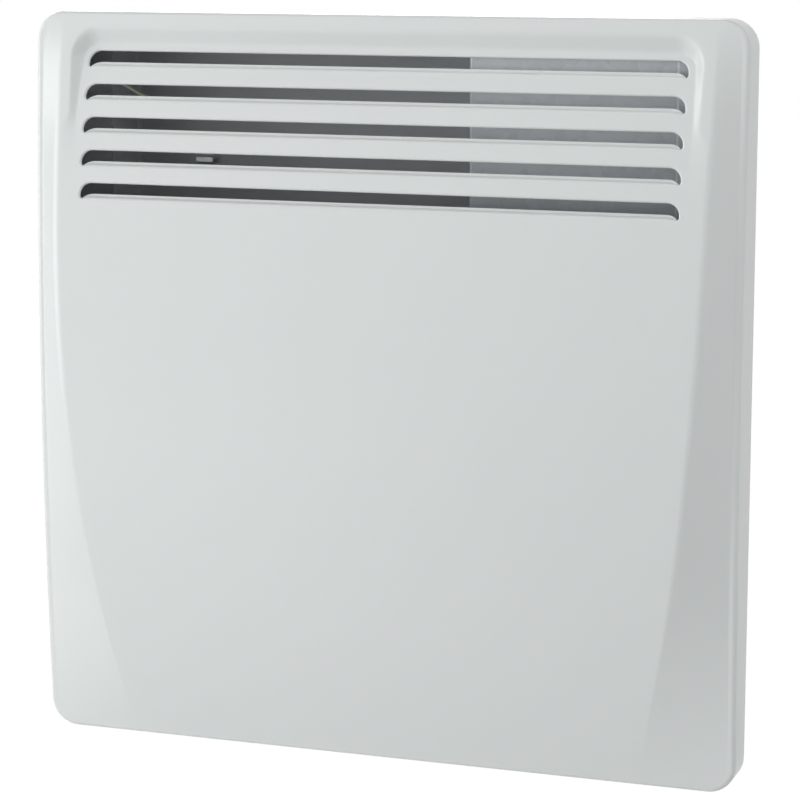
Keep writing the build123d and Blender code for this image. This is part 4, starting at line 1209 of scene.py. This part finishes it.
@dataclass
class PartitionFlange:
    """The turned-out flange that carries the partition's front on to the slots' right ends."""

    start_in: float = 5.0 * MM
    out: float = 4.6 * MM
    curl_r: float = 0.9 * MM
    sheet: float = 0.5 * MM
    low_z: float = 60.0 * MM
    top_in: float = 6.0 * MM
    clear: float = 0.05 * MM
    flat_steps: int = 7
    curl_steps: int = 12
    rise_steps: int = 39

    def make(self) -> bpy.types.Object:
        """Carries a flat and a half-circle curl, to the right and back, straight up along Z.

        Returns:
            The flange's piece.
        """
        low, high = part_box("partition")
        turn = np.linspace(0.0, math.pi, self.curl_steps + 1)[1:]
        flat = np.linspace(high.x - self.start_in, high.x + self.out, self.flat_steps + 1)
        front = np.full_like(flat, low.y - self.clear)
        x = np.concatenate([flat, flat[-1] + self.curl_r * np.sin(turn)])
        y = np.concatenate([front, front[-1] + self.curl_r * (1 - np.cos(turn))])
        z = np.linspace(self.low_z, high.z - self.top_in, self.rise_steps + 1)[:, None]
        skin = Skin()
        skin.cover(skin.add(np.stack(np.broadcast_arrays(x, y, z), -1)))
        piece = skin.build("partition_flange", FINISHES["partition_sheet"].material())
        thicken(piece, self.sheet)
        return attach(piece, "heater")


# --- dial


@dataclass
class Dial:
    """Printed marks on the ring round the thermostat's knob and a line on the knob's pointer."""

    marks: int = 7
    span: float = math.radians(270.0)
    inner_r: float = 11.55 * MM
    mark_len: float = 0.9 * MM
    mark_w: float = 0.45 * MM
    ink: float = 0.04 * MM
    pointer_w: float = 0.9 * MM
    pointer_in: float = 1.5 * MM
    pointer_out: float = 8.6 * MM

    @staticmethod
    def plate(
        skin: Skin, middle: Array, along: Array, size: tuple[float, float], ink: float
    ) -> None:
        """Adds thin plates that lie square to X: a grid of corner shares times two directions.

        Args:
            skin: where they go.
            middle: the plates' centres, one row each.
            along: unit directions of their length.
            size: length and width.
            ink: how far they stand out along X.
        """
        across = np.stack([np.zeros(len(along)), -along[:, 2], along[:, 1]], -1)
        half = np.array([-0.5, 0.5])
        for place, way, side in zip(middle, along, across):
            sides, ways = half[:, None, None] * size[1] * side, half[None, :, None] * size[0] * way
            top = skin.add(place + sides + ways)
            low = skin.add(place + sides + ways - (ink, 0.0, 0.0))
            skin.cover(top)
            skin.cover(low[::-1])
            skin.cover(np.stack([corners.ravel()[[0, 1, 3, 2, 0]] for corners in (low, top)]))

    def make(self) -> list[bpy.types.Object]:
        """Builds and dresses the marks, which stay, and the pointer's line, which turns.

        Returns:
            The two pieces.
        """
        knob_low, knob_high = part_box("thermostat_knob")
        centre_y, centre_z = (knob_low.y + knob_high.y) / 2, (knob_low.z + knob_high.z) / 2
        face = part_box("control_fascia")[1].x
        angles = math.pi / 2 - np.linspace(0.0, self.span, self.marks)
        along = np.stack([np.zeros(self.marks), np.cos(angles), np.sin(angles)], -1)
        hub = np.array([face + self.ink, centre_y, centre_z])
        middles = hub + along * (self.inner_r + self.mark_len / 2)
        marks, line = Skin(), Skin()
        self.plate(marks, middles, along, (self.mark_len, self.mark_w), self.ink)
        up = np.array([[0.0, 0.0, 1.0]])
        pointer_len = self.pointer_out - self.pointer_in
        pointer_z = centre_z + (self.pointer_in + self.pointer_out) / 2
        middle = np.array([[knob_high.x, centre_y, pointer_z]])
        self.plate(line, middle, up, (pointer_len, self.pointer_w), self.ink)
        made = []
        for skin, name, body in ((marks, "dial_marks", "heater"), (line, "pointer_line", "knob")):
            piece = skin.build(name, FINISHES["switch_plastic"].material())
            piece.data.shade_flat()
            made.append(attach(piece, body))
        return made


# --- earth lead


@dataclass
class EarthLead:
    """The striped lead from the cover's earth stud down behind the second slot to the casing."""

    radius: float = 0.95 * MM
    around: int = 16
    steps: int = 72
    stud_clear: float = 4.2 * MM
    behind: float = 12.0 * MM
    ring_r: float = 4.0 * MM
    screw_lift: float = 1.6 * MM
    passes: Place = (-153.5 * MM, -47.0 * MM, 167.0 * MM)

    def path(self) -> Array:
        """A quadratic B-spline between its ends: each span is a weighted mean of three points.

        Returns:
            The points along the lead, one row each.
        """
        low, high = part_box("earth_terminals")
        stud = np.array([low.x + self.ring_r, low.y, high.z - self.ring_r])
        screw = np.array([high.x - self.ring_r, high.y - self.screw_lift, low.z + self.ring_r])
        points = np.array([
            stud + (self.stud_clear, 0.0, 0.0),
            stud + (self.ring_r + self.behind, self.behind, 0.0),
            np.array(self.passes),
            screw - (self.behind, self.screw_lift, 0.0),
            screw - (self.ring_r, 0.0, 0.0),
        ])
        middles = (points[1:-2] + points[2:-1]) / 2
        starts, ends = np.vstack([points[:1], middles]), np.vstack([middles, points[-1:]])
        share = np.linspace(0.0, 1.0, self.steps // 3 + 1)[1:, None, None]
        spans = (1 - share) ** 2 * starts + 2 * share * (1 - share) * points[1:-1] + share**2 * ends
        return np.vstack([points[:1], spans.transpose(1, 0, 2).reshape(-1, 3)])

    def make(self) -> bpy.types.Object:
        """Builds and dresses the lead; its UV map holds the turn round it and the way along.

        Returns:
            The lead's piece.
        """
        skin = Skin()
        path = self.path()
        skin.carry(path, self.radius, self.around)
        piece = skin.build("earth_lead_striped", FINISHES["wire_earth"].material())
        corners = np.empty(len(piece.data.loops), dtype=np.int32)
        piece.data.loops.foreach_get("vertex_index", corners)
        ring, turn = corners // self.around, corners % self.around
        wraps = (turn == 0) & (np.roll(turn.reshape(-1, 4), 2, 1).ravel() >= self.around - 2)
        places = np.stack([(turn + self.around * wraps) / self.around, ring / len(path)], -1)
        turns = piece.data.uv_layers.new(name="round").data
        turns.foreach_set("uv", places.ravel().astype(np.float32))
        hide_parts("earth_lead")
        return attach(piece, "heater")


# --- carried-over nodes


class Dress:
    """Gives every carried-over solid its finish."""

    def __init__(self, frame_parts: dict) -> None:
        """Reads which material slot each node has.
        """
        self.nodes = frame_parts["nodes"]
        subparts = frame_parts["record"]["subparts"]
        self.slots = {part["node"]: part["material_slot"] for part in subparts}

    def make(self) -> None:
        """Assigns each node's material."""
        for name, node in self.nodes.items():
            material = FINISHES[self.slots[name]].material()
            node.data.materials.clear()
            node.data.materials.append(material)


# --- studio


@dataclass(frozen=True)
class Lamp:
    """A soft square lamp that faces the heater.

    Attributes:
        azimuth: angle to the heater's right, in degrees.
        elevation: angle up, in degrees.
        distance: from the heater.
        size: its side.
        level: how brightly it lights a white surface that faces it, 1 being white.
    """

    azimuth: float
    elevation: float
    distance: float
    size: float
    level: float


LAMPS = {
    "key": Lamp(-40.0, 6.0, 2.8, 2.6, 0.33),
    "left": Lamp(-70.0, 6.0, 2.2, 1.3, 0.36),
    "low_left": Lamp(-40.0, -32.0, 1.8, 1.4, 0.21),
    "high_left": Lamp(-50.0, 40.0, 2.2, 1.6, 0.05),
    "top": Lamp(-10.0, 70.0, 1.9, 1.3, 0.11),
    "high_right": Lamp(50.0, 45.0, 2.0, 1.4, 0.31),
    "right": Lamp(70.0, -8.0, 2.5, 1.6, 0.11),
    "back_right": Lamp(108.0, 0.0, 2.4, 1.5, 0.09),
    "back": Lamp(-150.0, 25.0, 2.4, 1.6, 0.45),
}


@dataclass
class Studio:
    """Camera, lamps, world and floor."""

    azimuth: float = 19.65
    elevation: float = 9.93
    distance: float = 1670.0 * MM
    target: Place = (5.4 * MM, -50.0 * MM, -6.4 * MM)
    lens: float = 125.1
    sensor: float = 36.0
    clip: tuple[float, float] = (0.05, 100.0)
    ambient: float = 0.14
    floor_drop: float = 0.9
    floor_size: float = 24.0
    floor_tone: float = 0.8
    floor_glow: float = 1.1
    floor_share: float = 0.9

    def put(
        self, name: str, data: bpy.types.ID, angles: tuple[float, float], away: float
    ) -> bpy.types.Object:
        """Puts a camera or lamp round the heater, facing it.

        Args:
            name: the object's name.
            data: its camera or lamp data.
            angles: to the heater's right and up, in degrees.
            away: how far from the heater.

        Returns:
            The object, linked to the scene.
        """
        turn, rise = map(math.radians, angles)
        level = math.cos(rise)
        toward = Vector((math.sin(turn) * level, -math.cos(turn) * level, math.sin(rise)))
        made = bpy.data.objects.new(name, data)
        made.location = Vector(self.target) + toward * away
        made.rotation_euler = (-toward).to_track_quat("-Z", "Y").to_euler()
        bpy.context.scene.collection.objects.link(made)
        return made

    def camera(self) -> None:
        """Puts the camera at the photograph's angle."""
        data = bpy.data.cameras.new("camera")
        data.sensor_width, data.lens = self.sensor, self.lens
        data.clip_start, data.clip_end = self.clip
        angles = (self.azimuth, self.elevation)
        bpy.context.scene.camera = self.put("camera", data, angles, self.distance)

    def light(self) -> None:
        """Puts up the lamps."""
        for name, lamp in LAMPS.items():
            data = bpy.data.lights.new(name, "AREA")
            data.size = lamp.size
            data.energy = lamp.level * (math.pi * lamp.distance) ** 2
            self.put(name, data, (lamp.azimuth, lamp.elevation), lamp.distance)

    def world(self) -> None:
        """White to the camera and in reflections, a plain grey level as light."""
        made = bpy.data.worlds.new("studio")
        bpy.context.scene.world = made
        made.use_nodes = True
        graph = Graph(made.node_tree)
        dim = graph.node("ShaderNodeBackground", {"Color": WHITE, "Strength": self.ambient})
        white = graph.node("ShaderNodeBackground", {"Color": WHITE, "Strength": 1.0})
        mix = graph.node("ShaderNodeMixShader", {0: graph.seen(), 1: dim, 2: white})
        graph.end(mix, "ShaderNodeOutputWorld")

    def floor(self) -> None:
        """A pale floor well below the heater, white to the camera but for the shadow."""
        low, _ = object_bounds()
        side = np.linspace(-self.floor_size / 2, self.floor_size / 2, 3)
        skin = Skin()
        grid = np.broadcast_arrays(side, side[:, None], low.z - self.floor_drop)
        skin.cover(skin.add(np.stack(grid, -1)))
        material = bpy.data.materials.new("pale_floor")
        material.use_nodes = True
        graph = Graph(material.node_tree)
        share = graph.seen() * self.floor_share
        matt = graph.node("ShaderNodeBsdfDiffuse", {"Color": (*[self.floor_tone] * 3, 1.0)})
        white = graph.node("ShaderNodeEmission", {"Color": WHITE, "Strength": self.floor_glow})
        graph.end(graph.node("ShaderNodeMixShader", {0: share, 1: matt, 2: white}))
        made = skin.build("floor", material)
        made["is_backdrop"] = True

    def make(self) -> None:
        """Sets up the whole studio."""
        bpy.context.scene.view_settings.view_transform = "Standard"
        self.camera()
        self.world()
        self.light()
        self.floor()


def main() -> None:
    """Builds the pieces in order."""
    logging.basicConfig(level=logging.INFO, format="%(name)s: %(message)s")
    Studio().make()
    LOG.info("studio ready")
    Dress(frame).make()
    LOG.info("dressed %d nodes", len(frame["nodes"]))
    pieces = (Cover().make(), PartitionFlange().make(), EarthLead().make(), *Dial().make())
    for piece in pieces:
        LOG.info("%s has %d points", piece.name, len(piece.data.vertices))


if __name__ == "__main__":
    main()
